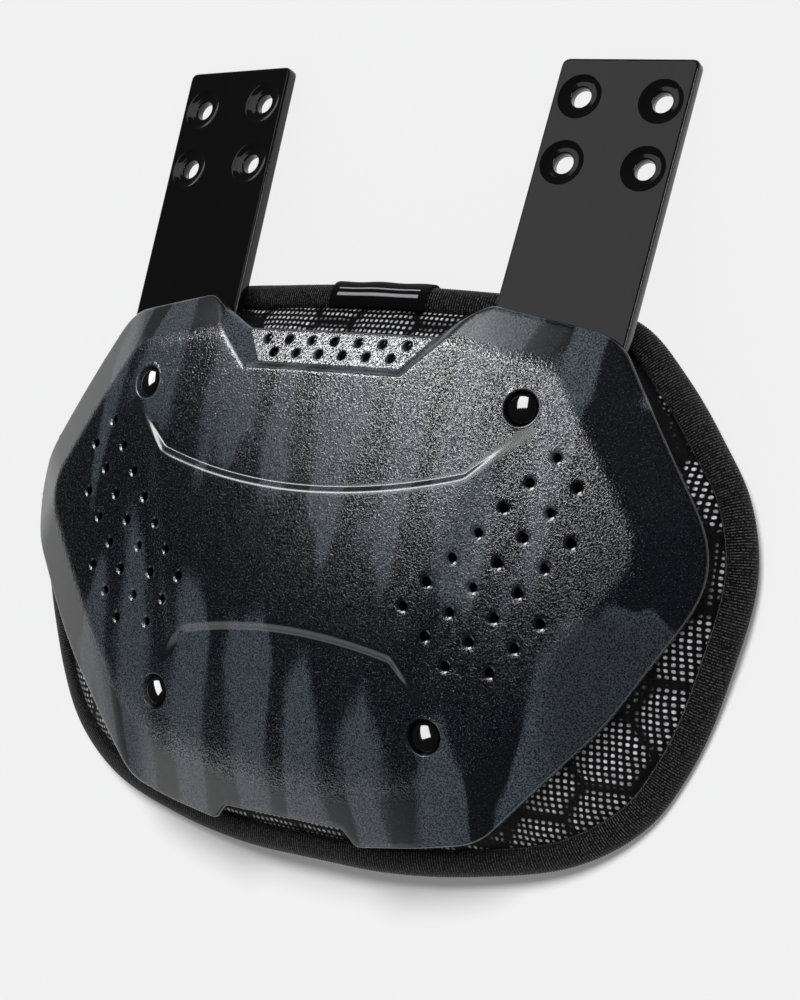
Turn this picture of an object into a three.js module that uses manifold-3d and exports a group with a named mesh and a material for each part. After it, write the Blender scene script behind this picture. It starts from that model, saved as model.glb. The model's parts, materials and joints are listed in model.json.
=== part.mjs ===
// Football back plate, lying on its back with the hollow of the pad towards the floor.
// Millimetres. x runs across the plate, y up the wearer's back, z out through the shell.
import * as THREE from 'three';
import { mergeVertices } from 'three/addons/utils/BufferGeometryUtils.js';
import Module from 'manifold-3d';

const wasm = await Module();
wasm.setup();

// Driving dimensions of the moulded shell
const GAP = 0.3;
const SHELL_WALL = 2.6;
const SHELL_BLOCK = { halfWidth: 170, low: -120, high: 120, floor: -90, roof: 40 };
const FRONT = { crown: 9, across: 0.00093, along: 0.00105, middle: 15, columns: 18, rows: 12 };

// Facets round the rim of the right half: a point on the straight crease where each one leaves the
// front, the way it faces in degrees from x, and how fast it falls away
const FACETS = [
  { name: 'tower', x: 70.4, y: 74.4, facing: 81.4, fall: 0.46 },
  { name: 'upper side', x: 110.3, y: 45.9, facing: 34.6, fall: 0.6 },
  { name: 'widest point', x: 129.5, y: 10, facing: 0, fall: 0.72 },
  { name: 'lower side', x: 107, y: -23.9, facing: -35.2, fall: 0.55 },
  { name: 'lower corner', x: 77, y: -61.5, facing: -49.4, fall: 0.42 },
];
const FACET_GRID = { columns: 12, rows: 9 };
const BOTTOM_FACET = { y: -77.6, bow: 0.00185, fall: 0.36 };

// Right half of the shell's outline, from the top recess down to the bottom notch, with the length
// that each rounded corner takes off its two sides
const SHELL_CORNERS = [
  { x: 41.8, y: 81.1, round: 0.5 },
  { x: 61.8, y: 93.5, round: 3 },
  { x: 108.8, y: 85.4, round: 9 },
  { x: 155.8, y: 10.8, round: 26 },
  { x: 120.5, y: -45.5, round: 12 },
  { x: 78.6, y: -91.8, round: 8 },
  { x: 56.8, y: -96.8, round: 8 },
  { x: 31.8, y: -100.6, round: 1.5 },
  { x: 26.2, y: -94.9, round: 1 },
];

// Recess in the top edge: a floor that slopes down to the edge, between walls that lean outwards.
// The floor starts at y with a half width, which grows by the flare
const RECESS = { y: 67.5, height: 1.6, slope: -0.37, halfWidth: 31, flare: 0.827, sink: 1.1, columns: 12 };
const RECESS_WALL = { lowerRun: 0.71, sideRun: 1.28 };

// Raised middle panel, between a wide curved step above and a short arched step below
const PANEL = { height: 1.8, sink: 0.1, fade: 0.12, columns: 20, rows: 14 };
const PANEL_TOP = { endX: 82, endY: 45.5, kneeX: 67, kneeY: 32.5, middleY: 22.8 };
const PANEL_FOOT = { endX: 57, endY: -44, kneeX: 46, kneeY: -33, middleY: -28 };

// Vents in the two sides, a staggered field: the outermost hole of each row and how many follow inwards
const VENT = { radius: 2, pitch: 16.5, sides: 8 };
const VENT_ROWS = [
  { y: 41.9, x: 98.2, count: 1 },
  { y: 32.6, x: 106.7, count: 2 },
  { y: 23.3, x: 98.6, count: 2 },
  { y: 14, x: 107.1, count: 3 },
  { y: 4.6, x: 98.9, count: 3 },
  { y: -4.6, x: 90.9, count: 3 },
  { y: -13.9, x: 99.6, count: 4 },
  { y: -23.1, x: 91.3, count: 3 },
  { y: -32.4, x: 83.2, count: 2 },
];
const RECESS_HOLE = { radius: 1.8, pitch: 10.4, sides: 8 };
const RECESS_ROWS = [
  { y: 76.9, count: 7 },
  { y: 71.8, count: 6 },
];

// Rivets, seated in round pockets square to the shell's face
const RIVETS = [
  { name: 'rivet_top', x: 82.9, y: 57.6, holds: 'strap' },
  { name: 'rivet_bottom', x: 60.5, y: -57.6, holds: 'pad' },
];
const SEAT = { radius: 6.6, depth: 3, bossRadius: 9.2, bossDepth: 6, sides: 14 };
const RIVET = { head: 5.9, rim: 0.8, proud: 0.4, domeSteps: 3, sides: 12 };
const RIVET_TAIL = { shank: 3, collar: 5.2, washer: 1.2, stub: 4.2 };

// Mounting straps: a flat bar square to its own normal, placed by the middle of its bolt holes
const STRAP = { width: 53, thickness: 4.8, above: 28.2, below: 117.3, round: 3, topSkew: 0.045 };
const STRAP_PLACE = { x: 86.65, y: 160, z: -30.2, leanOut: 0.056 };
const STRAP_NORMAL = { x: 0.0828, y: 0.1891, z: 1 };
const BOLT = { across: 31.75, along: 25.4, radius: 3.9, dishRadius: 8, seatRadius: 5.75, dishDepth: 0.9 };
const STRAP_RIVET_HOLE = 4.2;

// Right half of the padded backing's outline, from its top middle round to its bottom middle
const BACKING_OUTLINE = [
  { x: 0, y: 102.8 },
  { x: 45, y: 101.9 },
  { x: 80, y: 100.2 },
  { x: 103.6, y: 93.9 },
  { x: 123, y: 76.7 },
  { x: 141, y: 55.6 },
  { x: 153.1, y: 36.8 },
  { x: 158.9, y: 10 },
  { x: 152.3, y: -27.9 },
  { x: 141.3, y: -58.5 },
  { x: 128.2, y: -78.8 },
  { x: 104.6, y: -95.3 },
  { x: 67, y: -105.6 },
  { x: 33, y: -110.2 },
  { x: 0, y: -110.6 },
];
const BACKING = { depth: 14, across: 0.00098, along: 0.00095, middle: 15 };
const BACKING_BEND = { depth: 9, from: 40, to: 92 };
const BACKING_TUCK = { depth: 2, from: 10, to: 50 };
const PAD = { crown: 10.5, belly: 1.5, stations: 52, clear: 1.2 };
const PAD_RINGS = [0.8, 0.55, 0.28];

// The pad's edge in section: how far in from its rim, its half thickness there, and which way it
// faces. The tape is sewn on from the second row out
const PAD_EDGE = [
  { inset: 14, half: 7, out: 0, up: 1 },
  { inset: 7.5, half: 2.3, out: 0, up: 1 },
  { inset: 2, half: 2, out: 0.5, up: 1 },
  { inset: 0, half: 0.9, out: 1, up: 0.4 },
];
const BINDING = { thickness: 1.2 };
const LABEL = { thickness: 0.8, halfWidth: 21.5, steps: 8 };

// Straight steps in each curve of an outline, and in each quarter of a strap's holes and corners
const CURVE_STEPS = { outline: 8, panel: 12, hole: 6 };

const FINISHES = {
  shell: { color: 0x2b323a, roughness: 0.5 },
  strap: { color: 0x08080a, roughness: 0.15 },
  rivet: { color: 0x050506, roughness: 0.12 },
  pad: { color: 0x1c1d20, roughness: 0.95 },
  binding: { color: 0x0c0c0e, roughness: 0.9 },
  label: { color: 0x141416, roughness: 0.6 },
};

// Meshes to solids and back, for joining and cutting
function toSolid(geometry) {
  const bare = geometry.clone();
  bare.deleteAttribute('normal');
  bare.deleteAttribute('uv');
  const merged = mergeVertices(bare, 1e-4);
  const vertProperties = Float32Array.from(merged.attributes.position.array);
  const triVerts = Uint32Array.from(merged.index.array);
  return new wasm.Manifold(new wasm.Mesh({ numProp: 3, vertProperties, triVerts }));
}

function toGeometry(body) {
  const { vertProperties, triVerts } = body.getMesh();
  return meshGeometry(vertProperties, triVerts);
}

function meshGeometry(positions, indices) {
  const geometry = new THREE.BufferGeometry();
  geometry.setAttribute('position', new THREE.Float32BufferAttribute(positions, 3));
  geometry.setIndex(Array.from(indices));
  geometry.computeVertexNormals();
  return geometry;
}

// A closed block under a height function, on a grid over the shell's rectangle
function blockUnder(height, columns, rows) {
  const { halfWidth, low, high, floor } = SHELL_BLOCK;
  const positions = [];
  const indices = [];
  const across = columns + 1;
  const layer = across * (rows + 1);
  for (const level of [height, () => floor]) {
    for (let j = 0; j <= rows; j += 1) {
      for (let i = 0; i <= columns; i += 1) {
        const x = -halfWidth + (2 * halfWidth * i) / columns;
        const y = low + ((high - low) * j) / rows;
        positions.push(x, y, level(x, y));
      }
    }
  }
  const quad = (a, b, c, d) => indices.push(a, b, c, a, c, d);
  for (let j = 0; j < rows; j += 1) {
    for (let i = 0; i < columns; i += 1) {
      const a = j * across + i;
      quad(a, a + 1, a + 1 + across, a + across);
      quad(layer + a, layer + a + across, layer + a + 1 + across, layer + a + 1);
    }
  }
  for (let i = 0; i < columns; i += 1) {
    const far = rows * across + i;
    quad(layer + i, layer + i + 1, i + 1, i);
    quad(far, far + 1, layer + far + 1, layer + far);
  }
  for (let j = 0; j < rows; j += 1) {
    const near = j * across;
    const last = near + columns;
    quad(near, near + across, layer + near + across, layer + near);
    quad(layer + last, layer + last + across, last + across, last);
  }
  return toSolid(meshGeometry(positions, indices));
}

// A closed polygon with each corner eased by its own length
function easedShape(corners) {
  const shape = new THREE.Shape();
  const count = corners.length;
  corners.forEach((corner, k) => {
    const here = new THREE.Vector2(corner.x, corner.y);
    const toward = (other) => new THREE.Vector2(other.x, other.y).sub(here).setLength(corner.round).add(here);
    const start = toward(corners[(k + count - 1) % count]);
    const end = toward(corners[(k + 1) % count]);
    if (k === 0) shape.moveTo(start.x, start.y);
    else shape.lineTo(start.x, start.y);
    shape.quadraticCurveTo(here.x, here.y, end.x, end.y);
  });
  shape.closePath();
  return shape;
}

function prism(shape, curveSegments) {
  const depth = SHELL_BLOCK.roof - SHELL_BLOCK.floor;
  const geometry = new THREE.ExtrudeGeometry(shape, { depth, bevelEnabled: false, curveSegments });
  return toSolid(geometry.translate(0, 0, SHELL_BLOCK.floor));
}

function mirrored(corners) {
  return corners.map((corner) => ({ ...corner, x: -corner.x })).reverse();
}

// An upright round bar between two heights, then carried into another frame
function bar(radius, from, to, sides, frame) {
  const geometry = new THREE.CylinderGeometry(radius, radius, to - from, sides);
  geometry.rotateX(Math.PI / 2).translate(0, 0, (from + to) / 2);
  return toSolid(frame ? geometry.applyMatrix4(frame) : geometry);
}

// Heights of the shell's outer face
function frontHeight(x, y) {
  return FRONT.crown - FRONT.across * x * x - FRONT.along * (y - FRONT.middle) ** 2;
}

// A facet falls square to its crease, from the height of the front along that crease
function facetHeight(facet, x, y) {
  const angle = THREE.MathUtils.degToRad(facet.facing);
  const outX = Math.cos(angle);
  const outY = Math.sin(angle);
  const past = (Math.abs(x) - facet.x) * outX + (y - facet.y) * outY;
  return frontHeight(Math.abs(x) - past * outX, y - past * outY) - facet.fall * past;
}

function bottomHeight(x, y) {
  const crease = BOTTOM_FACET.y + BOTTOM_FACET.bow * x * x;
  return frontHeight(x, crease) - BOTTOM_FACET.fall * (crease - y);
}

// The recess's floor, lower wall and two side walls
function recessFloor(x, y) {
  return RECESS.height + RECESS.slope * (y - RECESS.y) - FRONT.across * x * x;
}

function recessLowerWall(x, y) {
  return recessFloor(x, RECESS.y) + (RECESS.y - y) / RECESS_WALL.lowerRun;
}

function recessSideWall(x, y) {
  const foot = RECESS.halfWidth + RECESS.flare * (y - RECESS.y);
  const floor = RECESS.height - RECESS.sink + RECESS.slope * (y - RECESS.y);
  return floor + (Math.abs(x) - foot) / RECESS_WALL.sideRun;
}

function faceHeight(x, y) {
  const facets = FACETS.map((facet) => facetHeight(facet, x, y));
  return Math.min(frontHeight(x, y), bottomHeight(x, y), ...facets);
}

// The raised panel fades out towards its two sides
function panelHeight(x, y) {
  const along = THREE.MathUtils.inverseLerp(PANEL_FOOT.endY, PANEL_TOP.endY, y);
  const reach = THREE.MathUtils.lerp(PANEL_FOOT.endX, PANEL_TOP.endX, along);
  const rise = THREE.MathUtils.smoothstep(1 - Math.abs(x) / reach, 0, PANEL.fade);
  return frontHeight(x, y) + PANEL.height * rise - PANEL.sink;
}

function panelShape() {
  const shape = new THREE.Shape();
  const control = (edge) => 2 * edge.middleY - edge.kneeY;
  shape.moveTo(-PANEL_FOOT.endX, PANEL_FOOT.endY);
  shape.lineTo(-PANEL_FOOT.kneeX, PANEL_FOOT.kneeY);
  shape.quadraticCurveTo(0, control(PANEL_FOOT), PANEL_FOOT.kneeX, PANEL_FOOT.kneeY);
  shape.lineTo(PANEL_FOOT.endX, PANEL_FOOT.endY);
  shape.lineTo(PANEL_TOP.endX, PANEL_TOP.endY);
  shape.lineTo(PANEL_TOP.kneeX, PANEL_TOP.kneeY);
  shape.quadraticCurveTo(0, control(PANEL_TOP), -PANEL_TOP.kneeX, PANEL_TOP.kneeY);
  shape.lineTo(-PANEL_TOP.endX, PANEL_TOP.endY);
  shape.closePath();
  return shape;
}

// Frame at a rivet: origin on the shell's face, z square to it
function rivetFrame(rivet, side) {
  const x = side * rivet.x;
  const slopeX = 2 * FRONT.across * x;
  const slopeY = 2 * FRONT.along * (rivet.y - FRONT.middle);
  const normal = new THREE.Vector3(slopeX, slopeY, 1).normalize();
  const turn = new THREE.Quaternion().setFromUnitVectors(new THREE.Vector3(0, 0, 1), normal);
  const place = new THREE.Vector3(x, rivet.y, frontHeight(x, rivet.y));
  return new THREE.Matrix4().compose(place, turn, new THREE.Vector3(1, 1, 1));
}

function eachRivet(visit) {
  for (const rivet of RIVETS) {
    for (const side of [-1, 1]) visit(rivet, side, rivetFrame(rivet, side));
  }
}

function shellGeometry() {
  let form = blockUnder(frontHeight, FRONT.columns, FRONT.rows);
  form = form.intersect(blockUnder(bottomHeight, FRONT.columns, 1));
  for (const facet of FACETS) {
    const height = (x, y) => facetHeight(facet, x, y);
    form = form.intersect(blockUnder(height, FACET_GRID.columns, FACET_GRID.rows));
  }
  const panelPrism = prism(panelShape(), CURVE_STEPS.panel);
  const panel = blockUnder(panelHeight, PANEL.columns, PANEL.rows).intersect(panelPrism);
  const recess = blockUnder(recessFloor, RECESS.columns, 1)
    .add(blockUnder(recessLowerWall, RECESS.columns, 1))
    .add(blockUnder(recessSideWall, 2, 1));
  form = form.add(panel).intersect(recess);
  const inner = toSolid(toGeometry(form).translate(0, 0, -SHELL_WALL));
  const outline = easedShape([...SHELL_CORNERS, ...mirrored(SHELL_CORNERS)].reverse());
  let shell = form.intersect(prism(outline, CURVE_STEPS.outline)).subtract(inner);
  eachRivet((rivet, side, frame) => {
    shell = shell.add(bar(SEAT.bossRadius, -SEAT.bossDepth, -SHELL_WALL / 2, SEAT.sides, frame));
  });
  eachRivet((rivet, side, frame) => {
    shell = shell.subtract(bar(SEAT.radius, -SEAT.depth, SEAT.depth, SEAT.sides, frame));
    shell = shell.subtract(bar(RIVET_TAIL.shank + GAP, -2 * SEAT.bossDepth, 0, RIVET.sides, frame));
  });
  const drill = (x, y, hole) => {
    const frame = new THREE.Matrix4().makeTranslation(x, y, 0);
    shell = shell.subtract(bar(hole.radius, SHELL_BLOCK.floor, SHELL_BLOCK.roof, hole.sides, frame));
  };
  for (const row of VENT_ROWS) {
    for (let k = 0; k < row.count; k += 1) {
      drill(row.x - k * VENT.pitch, row.y, VENT);
      drill(-row.x + k * VENT.pitch, row.y, VENT);
    }
  }
  for (const row of RECESS_ROWS) {
    for (let k = 0; k < row.count; k += 1) {
      drill((k - (row.count - 1) / 2) * RECESS_HOLE.pitch, row.y, RECESS_HOLE);
    }
  }
  return toGeometry(shell);
}

// Frame of a strap: origin on its front face at the middle of the bolt holes, y along it, z out
function strapFrame(side) {
  const normal = new THREE.Vector3(side * STRAP_NORMAL.x, STRAP_NORMAL.y, STRAP_NORMAL.z).normalize();
  const along = new THREE.Vector3(side * STRAP_PLACE.leanOut, 1, 0);
  along.addScaledVector(normal, -along.dot(normal)).normalize();
  const across = new THREE.Vector3().crossVectors(along, normal);
  const frame = new THREE.Matrix4().makeBasis(across, along, normal);
  return frame.setPosition(side * STRAP_PLACE.x, STRAP_PLACE.y, STRAP_PLACE.z);
}

// Distance from the shell's face down a rivet's axis to the front of its strap
function strapDepth(rivet, side) {
  const frame = rivetFrame(rivet, side);
  const axis = new THREE.Vector3().setFromMatrixColumn(frame, 2);
  const start = new THREE.Vector3().setFromMatrixPosition(frame);
  const strap = strapFrame(side);
  const normal = new THREE.Vector3().setFromMatrixColumn(strap, 2);
  const toward = start.sub(new THREE.Vector3().setFromMatrixPosition(strap));
  return { depth: toward.dot(normal) / axis.dot(normal), tilt: axis.angleTo(normal) };
}

function strapOutline(side, grow) {
  const half = STRAP.width / 2 + grow;
  const top = STRAP.above + grow;
  const skew = side * STRAP.topSkew * half;
  const foot = -STRAP.below - grow;
  return easedShape([
    { x: -half, y: foot, round: STRAP.round },
    { x: half, y: foot, round: STRAP.round },
    { x: half, y: top + skew, round: STRAP.round },
    { x: -half, y: top - skew, round: STRAP.round },
  ]);
}

function strapGeometry(side) {
  const shape = strapOutline(side, 0);
  const hole = (x, y, radius) => {
    shape.holes.push(new THREE.Path().absarc(x, y, radius, 0, 2 * Math.PI, true));
  };
  const bolts = [];
  for (const x of [-BOLT.across / 2, BOLT.across / 2]) {
    for (const y of [-BOLT.along / 2, BOLT.along / 2]) bolts.push({ x, y });
  }
  bolts.forEach((bolt) => hole(bolt.x, bolt.y, BOLT.radius));
  const rivet = RIVETS[0];
  const { depth } = strapDepth(rivet, side);
  const through = new THREE.Vector3(0, 0, -depth - STRAP.thickness / 2).applyMatrix4(rivetFrame(rivet, side));
  through.applyMatrix4(strapFrame(side).invert());
  hole(through.x, through.y, STRAP_RIVET_HOLE);
  const options = { depth: STRAP.thickness, bevelEnabled: false, curveSegments: CURVE_STEPS.hole };
  const plate = new THREE.ExtrudeGeometry(shape, options).translate(0, 0, -STRAP.thickness);
  let strap = toSolid(plate);
  const dishHeight = 2 * BOLT.dishDepth;
  const flare = 2 * BOLT.dishRadius - BOLT.seatRadius;
  for (const bolt of bolts) {
    const dish = new THREE.CylinderGeometry(flare, BOLT.seatRadius, dishHeight, SEAT.sides);
    strap = strap.subtract(toSolid(dish.rotateX(Math.PI / 2).translate(bolt.x, bolt.y, 0)));
  }
  return toGeometry(strap);
}

// Rivet: a domed head in its pocket, a shank through the shell, then a spacer and a washer round the
// strap, or a flange and a stub held in the pad
function rivetProfile(rivet) {
  const seat = GAP - SEAT.depth;
  const rim = seat + RIVET.rim;
  const collarTop = -SEAT.bossDepth - GAP;
  const profile = [];
  const turn = (radius, height) => profile.push(new THREE.Vector2(radius, height));
  if (rivet.holds === 'strap') {
    const { depth, tilt } = strapDepth(rivet, 1);
    const room = GAP + RIVET_TAIL.collar * Math.tan(tilt);
    const behind = -depth - STRAP.thickness / Math.cos(tilt) - room;
    turn(0, behind - RIVET_TAIL.washer);
    turn(RIVET_TAIL.collar, behind - RIVET_TAIL.washer);
    turn(RIVET_TAIL.collar, behind);
    turn(RIVET_TAIL.shank, behind);
    turn(RIVET_TAIL.shank, room - depth);
    turn(RIVET_TAIL.collar, room - depth);
  } else {
    turn(0, collarTop - RIVET_TAIL.washer - RIVET_TAIL.stub);
    turn(RIVET_TAIL.shank, collarTop - RIVET_TAIL.washer - RIVET_TAIL.stub);
    turn(RIVET_TAIL.shank, collarTop - RIVET_TAIL.washer);
    turn(RIVET_TAIL.collar, collarTop - RIVET_TAIL.washer);
  }
  turn(RIVET_TAIL.collar, collarTop);
  turn(RIVET_TAIL.shank, collarTop);
  turn(RIVET_TAIL.shank, seat);
  turn(RIVET.head, seat);
  for (let k = 0; k < RIVET.domeSteps; k += 1) {
    const angle = (k / RIVET.domeSteps) * (Math.PI / 2);
    turn(RIVET.head * Math.cos(angle), rim + (RIVET.proud - rim) * Math.sin(angle));
  }
  turn(0, RIVET.proud);
  return profile;
}

// Middle surface of the padded backing, which curves round the back, bends away at the top and, a
// little, below the waist
function backingHeight(x, y) {
  const bend = BACKING_BEND.depth * THREE.MathUtils.smoothstep(y, BACKING_BEND.from, BACKING_BEND.to);
  const bow = BACKING.across * x * x + BACKING.along * (y - BACKING.middle) ** 2;
  const tuck = BACKING_TUCK.depth * THREE.MathUtils.smoothstep(-y, BACKING_TUCK.from, BACKING_TUCK.to);
  return -(BACKING.depth + bow + bend + tuck);
}

// Stations round the pad's rim, each with its inward direction, set in from the binding's outside
function rimStations() {
  const right = BACKING_OUTLINE;
  const whole = [...right, ...mirrored(right.slice(1, -1))];
  const points = whole.map((row) => new THREE.Vector3(row.x, row.y, 0));
  const curve = new THREE.CatmullRomCurve3(points, true, 'centripetal');
  const setIn = GAP + BINDING.thickness;
  return curve.getSpacedPoints(PAD.stations).slice(0, -1).map((point, k) => {
    const tangent = curve.getTangentAt(k / PAD.stations);
    const inward = new THREE.Vector2(tangent.y, -tangent.x);
    return { x: point.x + inward.x * setIn, y: point.y + inward.y * setIn, inward };
  });
}

function rimPoint(station, inset, lift) {
  const x = station.x + station.inward.x * inset;
  const y = station.y + station.inward.y * inset;
  return [x, y, backingHeight(x, y) + lift];
}

// Skin between successive rings of points, closed at both ends by a middle point
function skinnedRings(rings, firstPole, lastPole) {
  const count = rings[0].length;
  const positions = [...rings.flat(2), ...firstPole, ...lastPole];
  const first = rings.length * count;
  const indices = [];
  for (let k = 0; k < count; k += 1) {
    const next = (k + 1) % count;
    indices.push(first, next, k);
    for (let r = 0; r + 1 < rings.length; r += 1) {
      const a = r * count;
      const b = a + count;
      indices.push(a + k, a + next, b + next, a + k, b + next, b + k);
    }
    const last = (rings.length - 1) * count;
    indices.push(first + 1, last + k, last + next);
  }
  return meshGeometry(positions, indices);
}

function padFront(x, y, scale) {
  const rest = backingHeight(x, y) + PAD_EDGE[0].half + PAD.crown * (1 - scale ** 4);
  return Math.min(rest, faceHeight(x, y) - SHELL_WALL - PAD.clear);
}

function padBack(x, y, scale) {
  return backingHeight(x, y) - PAD_EDGE[0].half - PAD.belly * (1 - scale ** 2);
}

function padGeometry(stations) {
  const inner = PAD_EDGE[0];
  const scaledRing = (scale, height) => stations.map((station) => {
    const [x, y] = rimPoint(station, inner.inset, 0);
    return [x * scale, y * scale, height(x * scale, y * scale, scale)];
  });
  const edge = PAD_EDGE.map((row) => stations.map((station) => rimPoint(station, row.inset, row.half)));
  const under = PAD_EDGE.map((row) => stations.map((station) => rimPoint(station, row.inset, -row.half)));
  const rings = [
    ...PAD_RINGS.map((scale) => scaledRing(scale, padFront)).reverse(),
    ...edge,
    ...under.reverse(),
    ...PAD_RINGS.map((scale) => scaledRing(scale, padBack)),
  ];
  let pad = toSolid(skinnedRings(rings, [0, 0, padFront(0, 0, 0)], [0, 0, padBack(0, 0, 0)]));
  for (const side of [-1, 1]) pad = pad.subtract(strapChannel(side));
  eachRivet((rivet, side, frame) => {
    const [foot] = rivetProfile(rivet);
    pad = pad.subtract(bar(RIVET_TAIL.shank + GAP, foot.y - GAP, 0, RIVET.sides, frame));
    const flange = rivet.holds === 'strap' ? foot.y : foot.y + RIVET_TAIL.stub;
    pad = pad.subtract(bar(RIVET_TAIL.collar + GAP, flange - GAP, 0, RIVET.sides, frame));
    pad = pad.subtract(bar(SEAT.bossRadius + GAP, -SEAT.bossDepth - GAP, 0, SEAT.sides, frame));
  });
  return toGeometry(pad);
}

// Room that the foam gives up to a strap, from behind it out to the shell
function strapChannel(side) {
  const options = { depth: SHELL_BLOCK.roof, bevelEnabled: false, curveSegments: CURVE_STEPS.hole };
  const room = new THREE.ExtrudeGeometry(strapOutline(side, GAP), options);
  room.translate(0, 0, -STRAP.thickness - GAP).applyMatrix4(strapFrame(side));
  return toSolid(room);
}

// Folded tape over the rim: an outer and an inner line in section, carried from station to station
function sleeveGeometry(stations, gap, thickness, closed) {
  const rows = PAD_EDGE.slice(1);
  const line = (offset) => {
    const front = rows.map((row) => {
      return { inset: row.inset - offset * row.out, lift: row.half + offset * row.up };
    });
    const back = front.map((row) => ({ inset: row.inset, lift: -row.lift })).reverse();
    return [...front, ...back];
  };
  const outer = line(gap + thickness);
  const section = [...outer, ...line(gap).reverse()];
  const count = section.length;
  const positions = stations.flatMap((station) => {
    return section.flatMap((row) => rimPoint(station, row.inset, row.lift));
  });
  const indices = [];
  const spans = closed ? stations.length : stations.length - 1;
  for (let s = 0; s < spans; s += 1) {
    const a = s * count;
    const b = ((s + 1) % stations.length) * count;
    for (let k = 0; k < count; k += 1) {
      const next = (k + 1) % count;
      indices.push(a + k, b + next, a + next, a + k, b + k, b + next);
    }
  }
  if (!closed) {
    const last = (stations.length - 1) * count;
    for (let k = 0; k + 1 < outer.length; k += 1) {
      const [p, q, r, t] = [k, k + 1, count - 2 - k, count - 1 - k];
      indices.push(p, q, r, p, r, t);
      indices.push(last + p, last + r, last + q, last + p, last + t, last + r);
    }
  }
  return meshGeometry(positions, indices);
}

// Stations along the middle of the top rim for the label, between the rim's own stations
function labelStations(stations) {
  const top = stations.filter((station) => station.y > 0).sort((a, b) => a.x - b.x);
  const found = [];
  for (let step = 0; step <= LABEL.steps; step += 1) {
    const x = THREE.MathUtils.lerp(-LABEL.halfWidth, LABEL.halfWidth, step / LABEL.steps);
    const next = top.findIndex((station) => station.x > x);
    const along = THREE.MathUtils.inverseLerp(top[next - 1].x, top[next].x, x);
    const y = THREE.MathUtils.lerp(top[next - 1].y, top[next].y, along);
    found.push({ x, y, inward: new THREE.Vector2(0, -1) });
  }
  return found;
}

const plate = new THREE.Group();

function place(name, geometry, finish, frame) {
  const mesh = new THREE.Mesh(geometry, new THREE.MeshStandardMaterial({ ...finish, metalness: 0 }));
  mesh.name = name;
  if (frame) mesh.applyMatrix4(frame);
  plate.add(mesh);
}

const rim = rimStations();
const bindingShape = sleeveGeometry(rim, GAP, BINDING.thickness, true);
const labelGap = 2 * GAP + BINDING.thickness;
const labelShape = sleeveGeometry(labelStations(rim), labelGap, LABEL.thickness, false);

place('shell', shellGeometry(), FINISHES.shell);
place('pad', padGeometry(rim), FINISHES.pad);
place('binding', bindingShape, FINISHES.binding);
place('label', labelShape, FINISHES.label);
for (const [word, side] of [['left', -1], ['right', 1]]) {
  place(`strap_${word}`, strapGeometry(side), FINISHES.strap, strapFrame(side));
  for (const rivet of RIVETS) {
    const lathe = new THREE.LatheGeometry(rivetProfile(rivet), RIVET.sides).rotateX(Math.PI / 2);
    place(`${rivet.name}_${word}`, lathe, FINISHES.rivet, rivetFrame(rivet, side));
  }
}

// The part stands on its lowest points, with the origin under the middle of its outline
const bounds = new THREE.Box3().setFromObject(plate, true);
const middle = bounds.getCenter(new THREE.Vector3());
plate.position.set(-middle.x, -middle.y, -bounds.min.z);

const part = new THREE.Group();
part.add(plate);

export default part;
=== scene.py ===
import json
import math

import bmesh
import bpy
import numpy as np
from mathutils import Matrix, Vector
from mathutils.geometry import delaunay_2d_cdt
from mathutils.kdtree import KDTree


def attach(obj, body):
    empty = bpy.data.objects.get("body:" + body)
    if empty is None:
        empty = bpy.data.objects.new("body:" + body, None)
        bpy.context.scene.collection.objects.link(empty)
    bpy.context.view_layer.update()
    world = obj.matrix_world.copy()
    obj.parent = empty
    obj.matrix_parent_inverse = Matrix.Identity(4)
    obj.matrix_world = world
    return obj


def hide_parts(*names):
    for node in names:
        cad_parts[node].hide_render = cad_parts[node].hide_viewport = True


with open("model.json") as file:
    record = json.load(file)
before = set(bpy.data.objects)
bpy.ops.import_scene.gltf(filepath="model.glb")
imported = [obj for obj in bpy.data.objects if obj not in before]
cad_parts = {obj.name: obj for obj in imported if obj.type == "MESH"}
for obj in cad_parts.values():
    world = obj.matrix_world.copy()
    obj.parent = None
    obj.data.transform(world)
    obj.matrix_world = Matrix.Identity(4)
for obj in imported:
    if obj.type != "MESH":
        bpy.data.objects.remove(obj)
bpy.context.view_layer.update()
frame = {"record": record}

# Lengths are millimetres in the plate's own axes: x across it, y up the wearer's back, z out of the
# shell. to_frame carries them into the frame, in metres.
MM = 0.001
STRAP_PLACE = np.array([86.65, 160.0, -30.2])
strap_mount = next(m for m in frame["record"]["mounts"] if m["name"] == "strap_front_right")
PLATE_ORIGIN = np.array(strap_mount["pos_m"]) / MM - STRAP_PLACE

# Points along curves, shake of lattices as a share of their step, and points measured at a time
CURVE_STEPS = {"corner": 12, "step": 60, "rim": 24}
LATTICE_SHAKE = 0.06
WELD = 1e-6
BLOCK = 2000

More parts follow.
